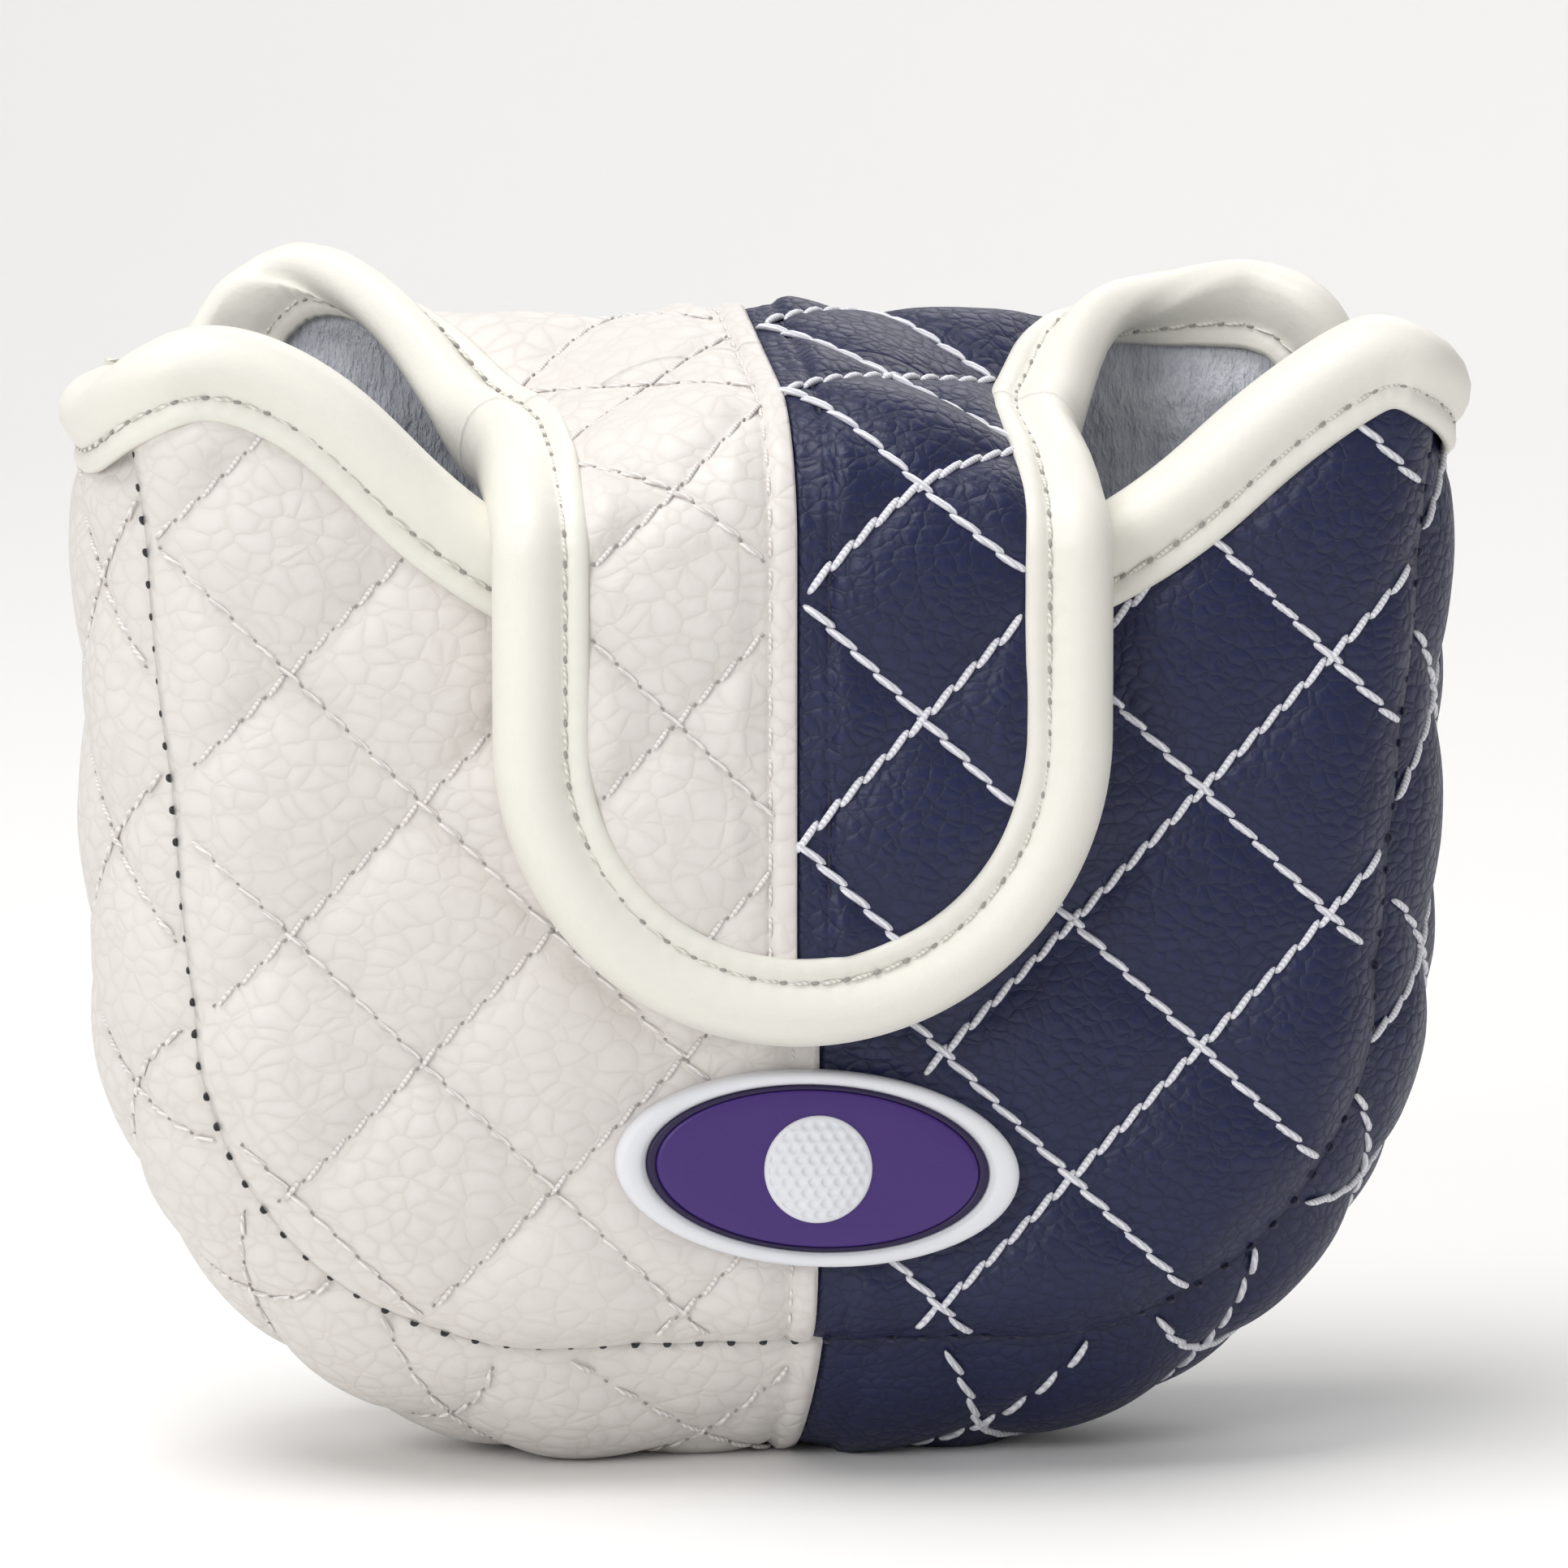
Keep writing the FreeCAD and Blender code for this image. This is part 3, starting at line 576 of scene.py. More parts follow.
def pebbled(name, light, dark, deep, rough, cell, grain, depth):
    """Pebbled leather: soft domes a cell apart with creases between, smaller pebbles on them, and a
    darker deep colour in the creases, which is painted shade."""
    f = Finish(name)
    place = f.place()
    drift = f.node("TexNoise", {}, {"Vector": place, "Scale": 0.55 / cell, "Detail": 2.0}, 1)
    centred = f.node("VectorMath", {"operation": "SUBTRACT"}, {0: drift, 1: (0.5, 0.5, 0.5)}, 0)
    bend = 0.9 * cell
    bent = f.node("VectorMath", {"operation": "MULTIPLY_ADD"},
                  {0: centred, 1: (bend, bend, bend), 2: place}, 0)
    flat = f.node("Mapping", {}, {"Vector": bent, "Scale": (0.82, 0.82, 1.1)}, 0)
    dome = f.node("TexVoronoi", {"feature": "SMOOTH_F1"},
                  {"Vector": flat, "Scale": 1 / cell, "Smoothness": 0.22}, 0)
    edge = f.node("TexVoronoi", {"feature": "DISTANCE_TO_EDGE"}, {"Vector": flat, "Scale": 1 / cell}, 0)
    small = f.node("TexVoronoi", {"feature": "SMOOTH_F1"},
                   {"Vector": bent, "Scale": 2.6 / cell, "Smoothness": 0.3}, 0)
    crease = f.ramp(edge, [(0.0, grey(0.0)), (0.09, grey(0.55)), (0.26, grey(1.0))])
    swell = f.noise(place, 70.0, 3.0)
    height = crease * (0.45 * grain) + (1.0 - dome) * 0.55 + (1.0 - small) * (0.22 * grain)
    # Painted shade: the creases take the darker deep colour.
    colour = f.mix(crease, deep, light)
    colour = f.mix(f.ramp(swell, [(0.35, grey(0.0)), (0.68, grey(1.0))]) * 0.55, colour, dark)
    gloss = rough + (1.0 - crease) * 0.1 + swell * 0.06
    normal = f.bump(height, depth, 0.0005)
    return f.set(Base_Color=colour, Roughness=gloss, Normal=normal, Specular_IOR_Level=0.42)


def smooth_leather(name, light, dark, rough):
    """Smooth soft leather: a faint fine grain, slow waves from handling, and a little colour drift."""
    f = Finish(name)
    place = f.place()
    fine = f.noise(place, 1500.0, 3.0, 0.6)
    wave = f.noise(place, 120.0, 2.0)
    drift = f.noise(place, 28.0, 2.0)
    colour = f.mix(drift * 0.6, light, dark)
    normal = f.bump(fine * 0.35 + wave * 0.9, 0.22, 0.0006)
    return f.set(Base_Color=colour, Roughness=rough + fine * 0.1, Normal=normal,
                 Specular_IOR_Level=0.4)


def spun(name, light, dark, rough=0.62):
    """Sewing thread: fine slanting plies, with painted shade darkening the valleys between them."""
    f = Finish(name)
    place = f.place()
    plies = f.node("TexWave", {"wave_type": "BANDS", "bands_direction": "DIAGONAL"},
                   {"Vector": place, "Scale": 900.0, "Distortion": 1.5, "Detail": 1.0}, 1)
    # Painted shade: the dark colour lies in the valleys between the plies.
    colour = f.mix(plies, dark, light)
    return f.set(Base_Color=colour, Roughness=rough, Normal=f.bump(plies, 0.35, 0.0001),
                 Sheen_Weight=0.15)


def plush(name, light, dark):
    """Short plush: tufts from stretched noise at two sizes, painted shade between them, and a soft sheen."""
    f = Finish(name)
    place = f.place()
    long = f.node("Mapping", {}, {"Vector": place, "Scale": (1.0, 1.0, 0.35)}, 0)
    tufts = f.noise(long, 650.0, 4.0, 0.65)
    hairs = f.noise(long, 2400.0, 2.0, 0.6)
    clumps = f.noise(place, 140.0, 3.0)
    pile = tufts * 0.6 + hairs * 0.25 + clumps * 0.5
    # Painted shade: where the pile is low the colour goes to the dark one.
    colour = f.mix(f.ramp(pile, [(0.42, grey(0.0)), (0.85, grey(1.0))]), dark, light)
    return f.set(Base_Color=colour, Roughness=0.95, Normal=f.bump(pile, 0.8, 0.0016),
                 Sheen_Weight=0.5, Sheen_Roughness=0.5, Specular_IOR_Level=0.15)


def rubber(name, light, dark, rough):
    """Moulded rubber: a fine eggshell surface with slight blotches in its colour and shine."""
    f = Finish(name)
    place = f.place()
    grain = f.noise(place, 2600.0, 3.0, 0.6)
    blotch = f.noise(place, 160.0, 3.0)
    colour = f.mix(blotch * 0.5, light, dark)
    return f.set(Base_Color=colour, Roughness=rough + grain * 0.12, Normal=f.bump(grain, 0.12, 0.0002))


def plated(name, tint, rough):
    """Plated steel: brushed streaks that change the roughness and lift the surface a little."""
    f = Finish(name)
    place = f.node("Mapping", {}, {"Vector": f.place(), "Scale": (1.0, 1.0, 12.0)}, 0)
    streak = f.noise(place, 900.0, 3.0)
    return f.set(Base_Color=f.mix(streak, tint, tuple(v * 0.8 for v in tint)), Metallic=1.0,
                 Roughness=rough + streak * 0.15, Normal=f.bump(streak, 0.1, 0.0001))


def woven(name, light, dark):
    """Plain weave: two crossing waves of yarn, with painted shade where they dip."""
    f = Finish(name)
    place = f.place()
    warp = f.node("TexWave", {"bands_direction": "X"}, {"Vector": place, "Scale": 420.0}, 1)
    weft = f.node("TexWave", {"bands_direction": "Z"}, {"Vector": place, "Scale": 420.0}, 1)
    yarn = warp * weft
    # Painted shade: the colour darkens where the yarn dips.
    return f.set(Base_Color=f.mix(yarn, dark, light), Roughness=0.85, Normal=f.bump(yarn, 0.4, 0.0002))


# The third colour of each pebbled leather is the painted shade in its creases.
WHITE = pebbled("white_pebbled_leather", (0.715, 0.684, 0.657), (0.695, 0.66, 0.63), (0.66, 0.62, 0.59),
                0.46, cell=0.0023, grain=0.6, depth=0.42)
NAVY = pebbled("navy_pebbled_leather", (0.0075, 0.0115, 0.057), (0.0055, 0.0085, 0.046),
               (0.0055, 0.0085, 0.038), 0.40, cell=0.0014, grain=0.8, depth=0.45)
CREAM = smooth_leather("cream_binding_leather", (0.775, 0.76, 0.70), (0.745, 0.725, 0.66), 0.4)
# The plush's second colour is the painted shade between its tufts.
PLUSH = plush("grey_plush", (0.70, 0.72, 0.77), (0.46, 0.48, 0.56))
# Each thread's second colour is the painted shade in the valleys of its plies.
WHITE_THREAD = spun("white_thread", (0.86, 0.86, 0.90), (0.55, 0.55, 0.62))
PALE_THREAD = spun("pale_thread", (0.84, 0.81, 0.79), (0.60, 0.56, 0.55))
BLACK_THREAD = spun("black_thread", (0.02, 0.02, 0.024), (0.004, 0.004, 0.006))
NAVY_THREAD = spun("navy_thread", (0.012, 0.014, 0.05), (0.004, 0.005, 0.02))
# Painted shade: dark marks that stand for the shadow in the needle holes between stitches.
NEEDLE_HOLE_SHADE = rubber("needle_hole_shade", (0.36, 0.34, 0.32), (0.26, 0.245, 0.23), 0.9)
TAPE_THREAD = spun("cream_thread", (0.80, 0.79, 0.73), (0.55, 0.54, 0.48))
BADGE_WHITE = rubber("badge_white_rubber", (0.76, 0.77, 0.81), (0.70, 0.71, 0.76), 0.42)
BADGE_PURPLE = rubber("badge_purple_rubber", (0.045, 0.012, 0.16), (0.035, 0.008, 0.13), 0.34)
BADGE_LINE = rubber("badge_dark_line", (0.012, 0.004, 0.05), (0.008, 0.003, 0.035), 0.4)
STEEL = plated("magnet_plating", (0.6, 0.6, 0.62), 0.25)
# The pocket weave's second colour is the painted shade between its yarns.
POCKET = woven("pocket_weave", (0.7, 0.7, 0.7), (0.45, 0.45, 0.46))

# ---- how pieces are tied to the pouch, or baked in place ----


def follow(made, where):
    """Ties a piece to the pouch; a piece for the back or the front fold only has its place baked into its
    mesh.
    """
    if where == "pouch":
        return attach(made, "pouch")
    if where == "back_fold":
        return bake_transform(made)
    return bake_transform(made)


# ---- front panel ----

BADGE = {"x": 2.0, "z": 31.8, "wide": 19.5, "high": 9.5, "tilt": math.radians(-4)}
BADGE_Y = PANEL_Y + 0.9


def in_badge(x, z):
    """The badge's own radius at a point: 0 in its middle and 1 on its oval edge."""
    c, s = math.cos(BADGE["tilt"]), math.sin(BADGE["tilt"])
    along = (x - BADGE["x"]) * c + (z - BADGE["z"]) * s
    up = (z - BADGE["z"]) * c - (x - BADGE["x"]) * s
    return np.hypot(along / BADGE["wide"], up / BADGE["high"])


def skin_height(x, s, quilt, seam_x, white, seam_gap, edge_gap, height=1.7):
    """The relief of a quilted skin: pillows that fade at seams, bindings and the colour seam."""
    beside = np.abs(x - seam_x)
    fade = smooth((beside - (2.4 if white else 1.2)) / 4.0) * smooth((edge_gap - 5.5) / 5.0)
    fade = fade * (0.35 + 0.65 * smooth(seam_gap / 6))
    relief = pillow(x, s, quilt, height) * fade * (1 + 0.12 * ripple(x, s, 33, 5))
    relief += 0.12 * ripple(x, s, 9, 3) * fade
    pressed = 0.7 * (1 - smooth((edge_gap - 4) / 4.2))
    return relief + seam_relief(beside, white) * smooth((edge_gap - 1) / 4) - pressed


def front_grid(white):
    """Columns go from the colour seam to the side and rows from the bottom seam to the rim. A row's
    height is a cosine step round the corner and an even one above it."""
    rows = np.concatenate([(1 - np.cos(np.linspace(0, math.pi / 2, int(50 / PITCH)))) * 0.36,
                           np.linspace(0.36, 1, int(62 / PITCH))[1:]])
    across = np.linspace(0, 1, int(66 / PITCH))
    side = -1 if white else 1
    top_x = FRONT_SEAM_X + (side * 62 - FRONT_SEAM_X) * across
    top = np.interp(top_x, rim_path[:, 0], rim_path[:, 1]) - 1.5
    z = PANEL["bottom"] + rows[:, None] * (top - PANEL["bottom"])[None, :]
    x = FRONT_SEAM_X + (side * half_width(z, PANEL) - FRONT_SEAM_X) * across[None, :]
    return x, z


def skin_piece(name, sheet, a, b, relief, colour, depth, parts, where):
    """A quilted skin in one colour, which stands for its own parts, and on the white side for the
    padding under both colours."""
    finish = WHITE if colour == "white" else NAVY
    made = cloth(name, sheet, a, b, relief, finish, depth)
    replaced = [f"{part}_{colour}" for part in parts]
    if colour == "white":
        replaced += [f"{part}_padding" for part in parts]
    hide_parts(*replaced)
    follow(made, where)


def lining_piece(name, sheet, a, b, seed, swell, parts, where):
    """A plush lining under a sheet: its pile is the sum of a fine and a broad uneven swell."""
    pile = -PILE + 0.3 * ripple(a, b, 5, seed) + swell * ripple(a, b, 17, seed + 1)
    made = cloth(name, sheet, a, b, pile, PLUSH, LINING, inner=True)
    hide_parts(*[f"{part}_lining" for part in parts])
    follow(made, where)


for white, colour in ((True, "white"), (False, "navy")):
    x, z = front_grid(white)
    seam_gap = outline_depth(x, z, PANEL)
    rim_gap = nearest(x, z, rim_path)
    relief = skin_height(x, z, FRONT_QUILT, FRONT_SEAM_X, white, seam_gap, rim_gap)
    under_badge = 1 - smooth((in_badge(x, z) - 0.95) / 0.35)
    relief = relief + (np.minimum(relief, 0.35) - relief) * under_badge
    skin_piece(f"front_quilt_{colour}", "front", x, z, relief, colour, PANEL_SKIN, ["front_panel"],
               "pouch")

x, s = np.meshgrid(np.linspace(-1, 1, int(118 / PITCH)), np.linspace(0, 1, int(84 / PITCH)))
top = np.interp(x * 62, rim_path[:, 0], rim_path[:, 1])
z = PANEL["bottom"] + 1.5 + s * (top - PANEL["bottom"] - 5.0)
x = x * (half_width(z, PANEL) - 2.5)
lining_piece("front_plush", "front", x, z, 11, 0.2, ["front_panel"], "pouch")

# ---- gusset ----

floor_x = np.interp(FRONT_SEAM_X, belly_path[:, 0][160:-160], gusset_length[160:-160])
for white, colour in ((True, "white"), (False, "navy")):
    ends = (gusset_length[0], floor_x) if white else (floor_x, gusset_length[-1])
    along = np.linspace(*ends, int((ends[1] - ends[0]) / PITCH))
    across = np.linspace(-SEAM_Y, SEAM_Y, int(44 / PITCH))
    s, t = np.meshgrid(along, across, indexing="ij")
    edge = SEAM_Y - np.abs(t)
    top_gap = np.minimum(s - gusset_length[0], gusset_length[-1] - s)
    relief = skin_height(s, t, GUSSET_QUILT, floor_x, white, edge, top_gap, height=1.5)
    relief = relief - 0.9 * np.exp(-edge / 1.2)
    skin_piece(f"gusset_quilt_{colour}", "gusset", s, t, relief, colour, PANEL_SKIN, ["gusset"],
               "pouch")

s, t = np.meshgrid(np.linspace(gusset_length[0] + 1, gusset_length[-1] - 1, int(250 / PITCH)),
                   np.linspace(-SEAM_Y, SEAM_Y, int(40 / PITCH)), indexing="ij")
lining_piece("gusset_plush", "gusset", s, t, 21, 0.25, ["gusset"], "pouch")

# ---- back panel, wings and flap ----

def flap_edge(s, side):
    """Where the flap pattern ends at each height s: the seam's outline, then the wing and the flap."""
    edge = edge_left * (-1, 1) if side < 0 else edge_right
    order = np.argsort(edge[:, 1], kind="stable")
    return np.where(s <= TOP_Z, half_width(s, PANEL), np.interp(s, edge[order, 1], edge[order, 0]))


def flap_grid(rows, side, start_x):
    """Columns go from the colour seam to the edge, or to just inside it where it is bound."""
    across = np.linspace(0, 1, int(66 / PITCH))
    edge = np.maximum(flap_edge(rows, side) - 1.6 * smooth((rows - 99) / 5), 2.2)
    x = start_x + (side * edge[:, None] - start_x) * across[None, :]
    return x, np.broadcast_to(rows[:, None], x.shape)


turn = np.linspace(0, math.pi / 2, int(50 / PITCH))
corner_rows = PANEL["bottom"] + PANEL["corner"] * (1 - np.cos(turn))
side_rows = np.linspace(corner_rows[-1], 104, int(56 / PITCH))[1:]
wing_rows = np.linspace(104, SPLIT_S, int(42 / PITCH))[1:]
back_rows = np.concatenate([corner_rows, side_rows, wing_rows])
tongue_rows = np.concatenate([np.linspace(SPLIT_S, ROUND_S, int(56 / PITCH)),
                              ROUND_S + FLAP_HALF * np.sin(np.linspace(0, 1.48, int(48 / PITCH)))[1:]])

for where, rows, replaced in (("back_fold", back_rows, ("back_panel", "flap_top")),
                              ("front_fold", tongue_rows, ("flap_tongue",))):
    for white, colour in ((True, "white"), (False, "navy")):
        x, s = flap_grid(rows, -1 if white else 1, FLAP_SEAM_X)
        seam_gap = np.where(s < TOP_Z, outline_depth(x, s, PANEL), 30.0)
        edge_gap = nearest(x, s, edge_path)
        relief = skin_height(x, s, FLAP_QUILT, FLAP_SEAM_X, white, np.maximum(seam_gap, 0), edge_gap)
        name = ("back_and_neck_" if where == "back_fold" else "flap_tongue_quilt_") + colour
        skin_piece(name, "flap", x, s, relief, colour, FLAP_SKIN, replaced, where)

for where, rows, name, replaced in (
        ("back_fold", back_rows[4:], "back_and_neck_plush", ("back_panel", "flap_top")),
        ("front_fold", tongue_rows, "flap_tongue_plush", ("flap_tongue",))):
    inset = 1.5 + 3.7 * smooth((rows - 97) / 7)
    left = np.maximum(flap_edge(rows, -1) - inset, 1)
    right = np.maximum(flap_edge(rows, 1) - inset, 1)
    share = np.linspace(0, 1, int(120 / PITCH))[None, :]
    x = -left[:, None] * (1 - share) + right[:, None] * share
    s = np.broadcast_to(rows[:, None], x.shape)
    lining_piece(name, "flap", x, s, 31, 0.2, replaced, where)

# ---- bindings ----

# The binding's section: how far out from the edge, and how high above the leather.
SECTION = np.array([
    (-7.9, 0.0), (-7.85, 0.55), (-7.4, 0.95), (-6.7, 1.02), (-6.1, 0.85), (-5.6, 0.5), (-5.1, 0.85),
    (-4.3, 1.5), (-3.2, 1.95), (-2.0, 1.95), (-0.9, 1.45), (0.0, 0.55), (0.6, -0.7), (0.9, -2.2),
    (0.85, -3.9), (0.4, -5.4), (-0.5, -6.5), (-1.8, -7.1), (-3.4, -7.2), (-4.8, -6.9), (-5.6, -6.5),
    (-6.3, -6.8), (-7.2, -6.9), (-7.7, -6.5), (-7.6, -5.9), (-5.0, -5.6), (-2.4, -4.6), (-1.4, -2.8),
    (-2.2, -1.2), (-4.6, -0.4), (-7.3, -0.3)])


def path_frame(path):
    """The direction out of the pattern at each point of its edge: the edge's way turned a quarter."""
    way = np.gradient(path, axis=0)
    way /= np.linalg.norm(way, axis=1, keepdims=True)
    return np.stack([-way[:, 1], way[:, 0]], 1)


def tucked(gone, out, height):
    """The section's heights along the edge: at the sewn line the tape is drawn in a little at each
    stitch, and the roll swells and slackens slowly."""
    near_line = np.exp(-((out + SEWN_IN) / 1.4) ** 2)
    on_face = smooth(height + 1.0)
    draw = 0.10 * np.cos(gone[:, None] * 2 * math.pi / STITCH) * near_line
    roll = 0.12 * np.sin(gone[:, None] / 9.0) + 0.08 * np.sin(gone[:, None] / 3.7 + 1)
    return height + draw + roll * on_face * smooth((out + 7.9) / 2.5)


def sewn_line(name, line, up, where):
    """Running stitches on a binding: short cream threads, and painted shade for a needle hole between each
    two.
    """
    threads = stitches(name + "_stitches", *on_line(line, up, STITCH), 2.3, 0.2, TAPE_THREAD,
                       "binding_leather", slant=0.08)
    follow(threads, where)
    # The needle holes are small dark marks of painted shade.
    holes = stitches(name + "_needle_hole_shadows", *on_line(line + 0.05 * up, up, STITCH, start=1.0), 0.75, 0.17,
                     NEEDLE_HOLE_SHADE, "binding_leather", slant=0.2)
    follow(holes, where)


def pleats(path, gone, out, height):
    """Gathers on the inner tape of the left wing: rounded folds 2.1 mm apart that fade at both ends."""
    where = smooth((path[:, 1] - 104) / 4) * (1 - smooth((path[:, 1] - 117) / 6)) * (path[:, 0] < 0)
    inner = smooth((-2.6 - out) / 1.5) * (height < -5.7)
    return 0.55 * (where * np.abs(np.sin(gone * math.pi / 2.1)))[:, None] * inner


def tape_piece(name, points, replaced, where):
    """A binding from the rings of its section."""
    made = outside(shape(name, points, rings(points), CREAM))
    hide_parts(*replaced)
    follow(made, where)


def bind_flap():
    """The binding round the wings and the flap, swept along the edge of the flap's sheet: each ring is
    the section set out from the edge in the pattern and raised off the sheet. It is cut at the neck into
    three pieces that share their end rings."""
    path = even(edge_path, EDGE_STEP)
    out_way = path_frame(path)
    gone = lengths(path)
    out = np.broadcast_to(SECTION[None, :, 0], (len(path), len(SECTION)))
    plain = np.broadcast_to(SECTION[None, :, 1], out.shape)
    height = tucked(gone, out, plain) - pleats(path, gone, out, plain)
    a = path[:, None, 0] + out_way[:, None, 0] * out
    b = path[:, None, 1] + out_way[:, None, 1] * out
    points = lifted("flap", a, b, height)
    line = path - SEWN_IN * out_way
    over = np.nonzero(path[:, 1] > SPLIT_S)[0]
    end = len(path) - 1
    for name, first, last, where, replaced in (
            ("wing_and_neck_binding_left", 0, over[0], "back_fold",
             ("wing_binding_left", "flap_top_binding_left")),
            ("flap_tongue_edge_binding", over[0], over[-1], "front_fold", ("flap_tongue_binding",)),
            ("wing_and_neck_binding_right", over[-1], end, "back_fold",
             ("wing_binding_right", "flap_top_binding_right"))):
        tape_piece(name, points[first:last + 1], replaced, where)
        # The stitching starts a little way in from the wings' ends.
        sewn_from = WING_END if first == 0 else first
        sewn_to = end + 1 - WING_END if last == end else last + 1
        x, s = line[sewn_from:sewn_to].T
        for side, level, way in SEWN_HEIGHTS:
            places = lifted("flap", x, s, level)
            sewn_line(f"{name}_{side}", places, lifted("flap", x, s, level + way) - places, where)


bind_flap()

# The front rim's binding goes round the corners and along the gusset's top edges to the back.
CORNER = [(61.2, -22.6, 110.9), (63.4, -20.0, 109.6), (65.0, -16.2, 107.8), (66.0, -11.0, 106.0),
          (66.4, -4.0, 105.0), (66.3, 4.0, 104.9), (65.2, 11.5, 104.9), (63.5, 16.8, 104.9),
          (61.8, 19.4, 104.9), (59.4, 20.6, 105.0), (56.6, 20.9, 105.2)]


def rim_half(rim):
    """Half of the rim's line in space, from the middle of the front to the back of the gusset."""
    flat = even(rim[rim[:, 0] < 58.6], 3.0)
    front = front_sheet(flat[:, 0], flat[:, 1])
    return spline(np.vstack([front, CORNER]), 6)


def softened(rows, reach):
    """Rows averaged with their neighbours under a raised cosine, with the two end rows kept."""
    weight = 1 + np.cos(np.linspace(-math.pi, math.pi, 2 * reach + 3)[1:-1])
    padded = np.vstack([2 * rows[0] - rows[reach:0:-1], rows, 2 * rows[-1] - rows[-2:-reach - 2:-1]])
    return np.stack([np.convolve(padded[:, i], weight / weight.sum(), "valid") for i in range(3)], 1)


def bind_rim():
    """The rim's binding, swept in space: each ring is the section set along two directions square to the
    rim's smoothed way, one facing outwards and one upwards."""
    line = even(np.vstack([rim_half(rim_left)[::-1] * (-1, 1, 1), rim_half(rim_right)[1:]]), EDGE_STEP)
    line = softened(line, int(4 / EDGE_STEP))
    way = np.gradient(line, axis=0)
    way /= np.linalg.norm(way, axis=1, keepdims=True)
    way = softened(way, int(8 / EDGE_STEP))
    face = np.stack([way[:, 1], -way[:, 0], np.zeros(len(way))], 1)
    face /= np.linalg.norm(face, axis=1, keepdims=True)
    upward = np.cross(face, way)
    upward *= np.sign(upward[:, 2:3]) / np.linalg.norm(upward, axis=1, keepdims=True)
    out = np.broadcast_to(SECTION[None, :, 0], (len(line), len(SECTION)))
    height = tucked(lengths(line), out, np.broadcast_to(SECTION[None, :, 1], out.shape))
    # Round the corners the tape leans in towards the seam below it.
    lean = 0.11 * smooth((np.abs(line[:, :1]) - 59) / 4)
    height = height + lean * np.minimum(out, 0)
    points = line[:, None] + upward[:, None] * out[..., None] + face[:, None] * height[..., None]
    tape_piece("rim_binding", points, ("front_rim_binding",), "pouch")
    sewn = line - SEWN_IN * upward - SEWN_IN * lean * face
    for side, level, way_out in SEWN_HEIGHTS:
        sewn_line(f"rim_binding_{side}", sewn + level * face, way_out * face, "pouch")


bind_rim()

# ---- quilting threads ----

THREADS = {"white": (PALE_THREAD, 0.25, 2.75), "navy": (WHITE_THREAD, 0.37, 3.75)}


def sew(name, sheet, quilt, seam_x, box, keep, where):
    """The quilting threads of a sheet, one piece for each colour of leather, and on the white one small
    dark marks between the threads, which are painted shade for the needle holes."""
    for colour, (finish, radius, length) in THREADS.items():
        marks = [("threads", 0.0, finish, radius, length)]
        if colour == "white":
            # The needle holes are small dark marks of painted shade.
            marks.append(("needle_hole_shadows", QUILT_STITCH / 2, NEEDLE_HOLE_SHADE, 0.13, 0.42))
        for kind, start, tint, thin, long in marks:
            x, s, direction = quilt_places(quilt, box[0], box[1], QUILT_STITCH, start)
            on_side = (x < seam_x - 2.6) if colour == "white" else (x > seam_x + 0.6)
            pick = keep(x, s) & on_side
            made = quilt_threads(f"{name}_{kind}_{colour}", sheet, x[pick], s[pick], direction[pick],
                                 tint, f"{colour}_leather", thin, 0.2, long)
            follow(made, where)


def in_front(x, s):
    """Whether a place of the front's pattern is inside its seam and rim and clear of the badge."""
    below_rim = s < np.interp(x, rim_path[:, 0], rim_path[:, 1]) - 3
    inside = (outline_depth(x, s, PANEL) > SEAM_CLEAR) & below_rim
    return inside & (nearest(x, s, rim_path) > TAPE_COVER) & (in_badge(x, s) > BADGE_CLEAR)


sew("front_quilt", "front", FRONT_QUILT, FRONT_SEAM_X, ((-62, 14), (62, 111)), in_front, "pouch")
sew("gusset_quilt", "gusset", GUSSET_QUILT, floor_x,
    ((gusset_length[0] + 7, -18.4), (gusset_length[-1] - 7, 18.4)),
    lambda x, s: np.abs(s) < 18.2, "pouch")


def in_flap(x, s, low, high):
    """Whether a place of the flap pattern is inside its edges and between two rows."""
    edge = np.where(x < 0, flap_edge(s, -1), flap_edge(s, 1))
    inside = (np.abs(x) < edge) & (s > low) & (s <= high)
    seam = np.where(s < TOP_Z, outline_depth(x, s, PANEL), 30)
    return inside & (nearest(x, s, edge_path) > TAPE_COVER) & (seam > SEAM_CLEAR)


sew("back_quilt", "flap", FLAP_QUILT, FLAP_SEAM_X, ((-62, 14), (62, SPLIT_S)),
    lambda x, s: in_flap(x, s, 15, SPLIT_S), "back_fold")
sew("flap_quilt", "flap", FLAP_QUILT, FLAP_SEAM_X, ((-29, SPLIT_S), (29, TIP_S)),
    lambda x, s: in_flap(x, s, SPLIT_S, TIP_S), "front_fold")

# Topstitching beside the colour seam, pale on the white side and navy on the navy side.
for name, sheet, seam_x, low, high, where in (
        ("front_seam", "front", FRONT_SEAM_X, 15.0, 86.0, "pouch"),
        ("back_seam", "flap", FLAP_SEAM_X, 15.0, SPLIT_S, "back_fold"),
        ("flap_seam", "flap", FLAP_SEAM_X, SPLIT_S, TIP_S - 7.6, "front_fold")):
    s = np.arange(low, high, 0.7)
    for colour, shift, finish in (("white", -2.5, PALE_THREAD), ("navy", 3.1, NAVY_THREAD)):
        x = np.full(len(s), seam_x + shift)
        line = lifted(sheet, x, s, -0.12)
        up = lifted(sheet, x, s, 0.88) - line
        place, heading, normal = on_line(line, up, STITCH)
        if sheet == "front":
            clear = in_badge(place[:, 0], place[:, 2]) > BADGE_CLEAR
            place, heading, normal = place[clear], heading[clear], normal[clear]
        thread = stitches(f"{name}_topstitch_{colour}", place, heading, normal, 2.1, 0.2, finish,
                          f"{colour}_leather")
        follow(thread, where)

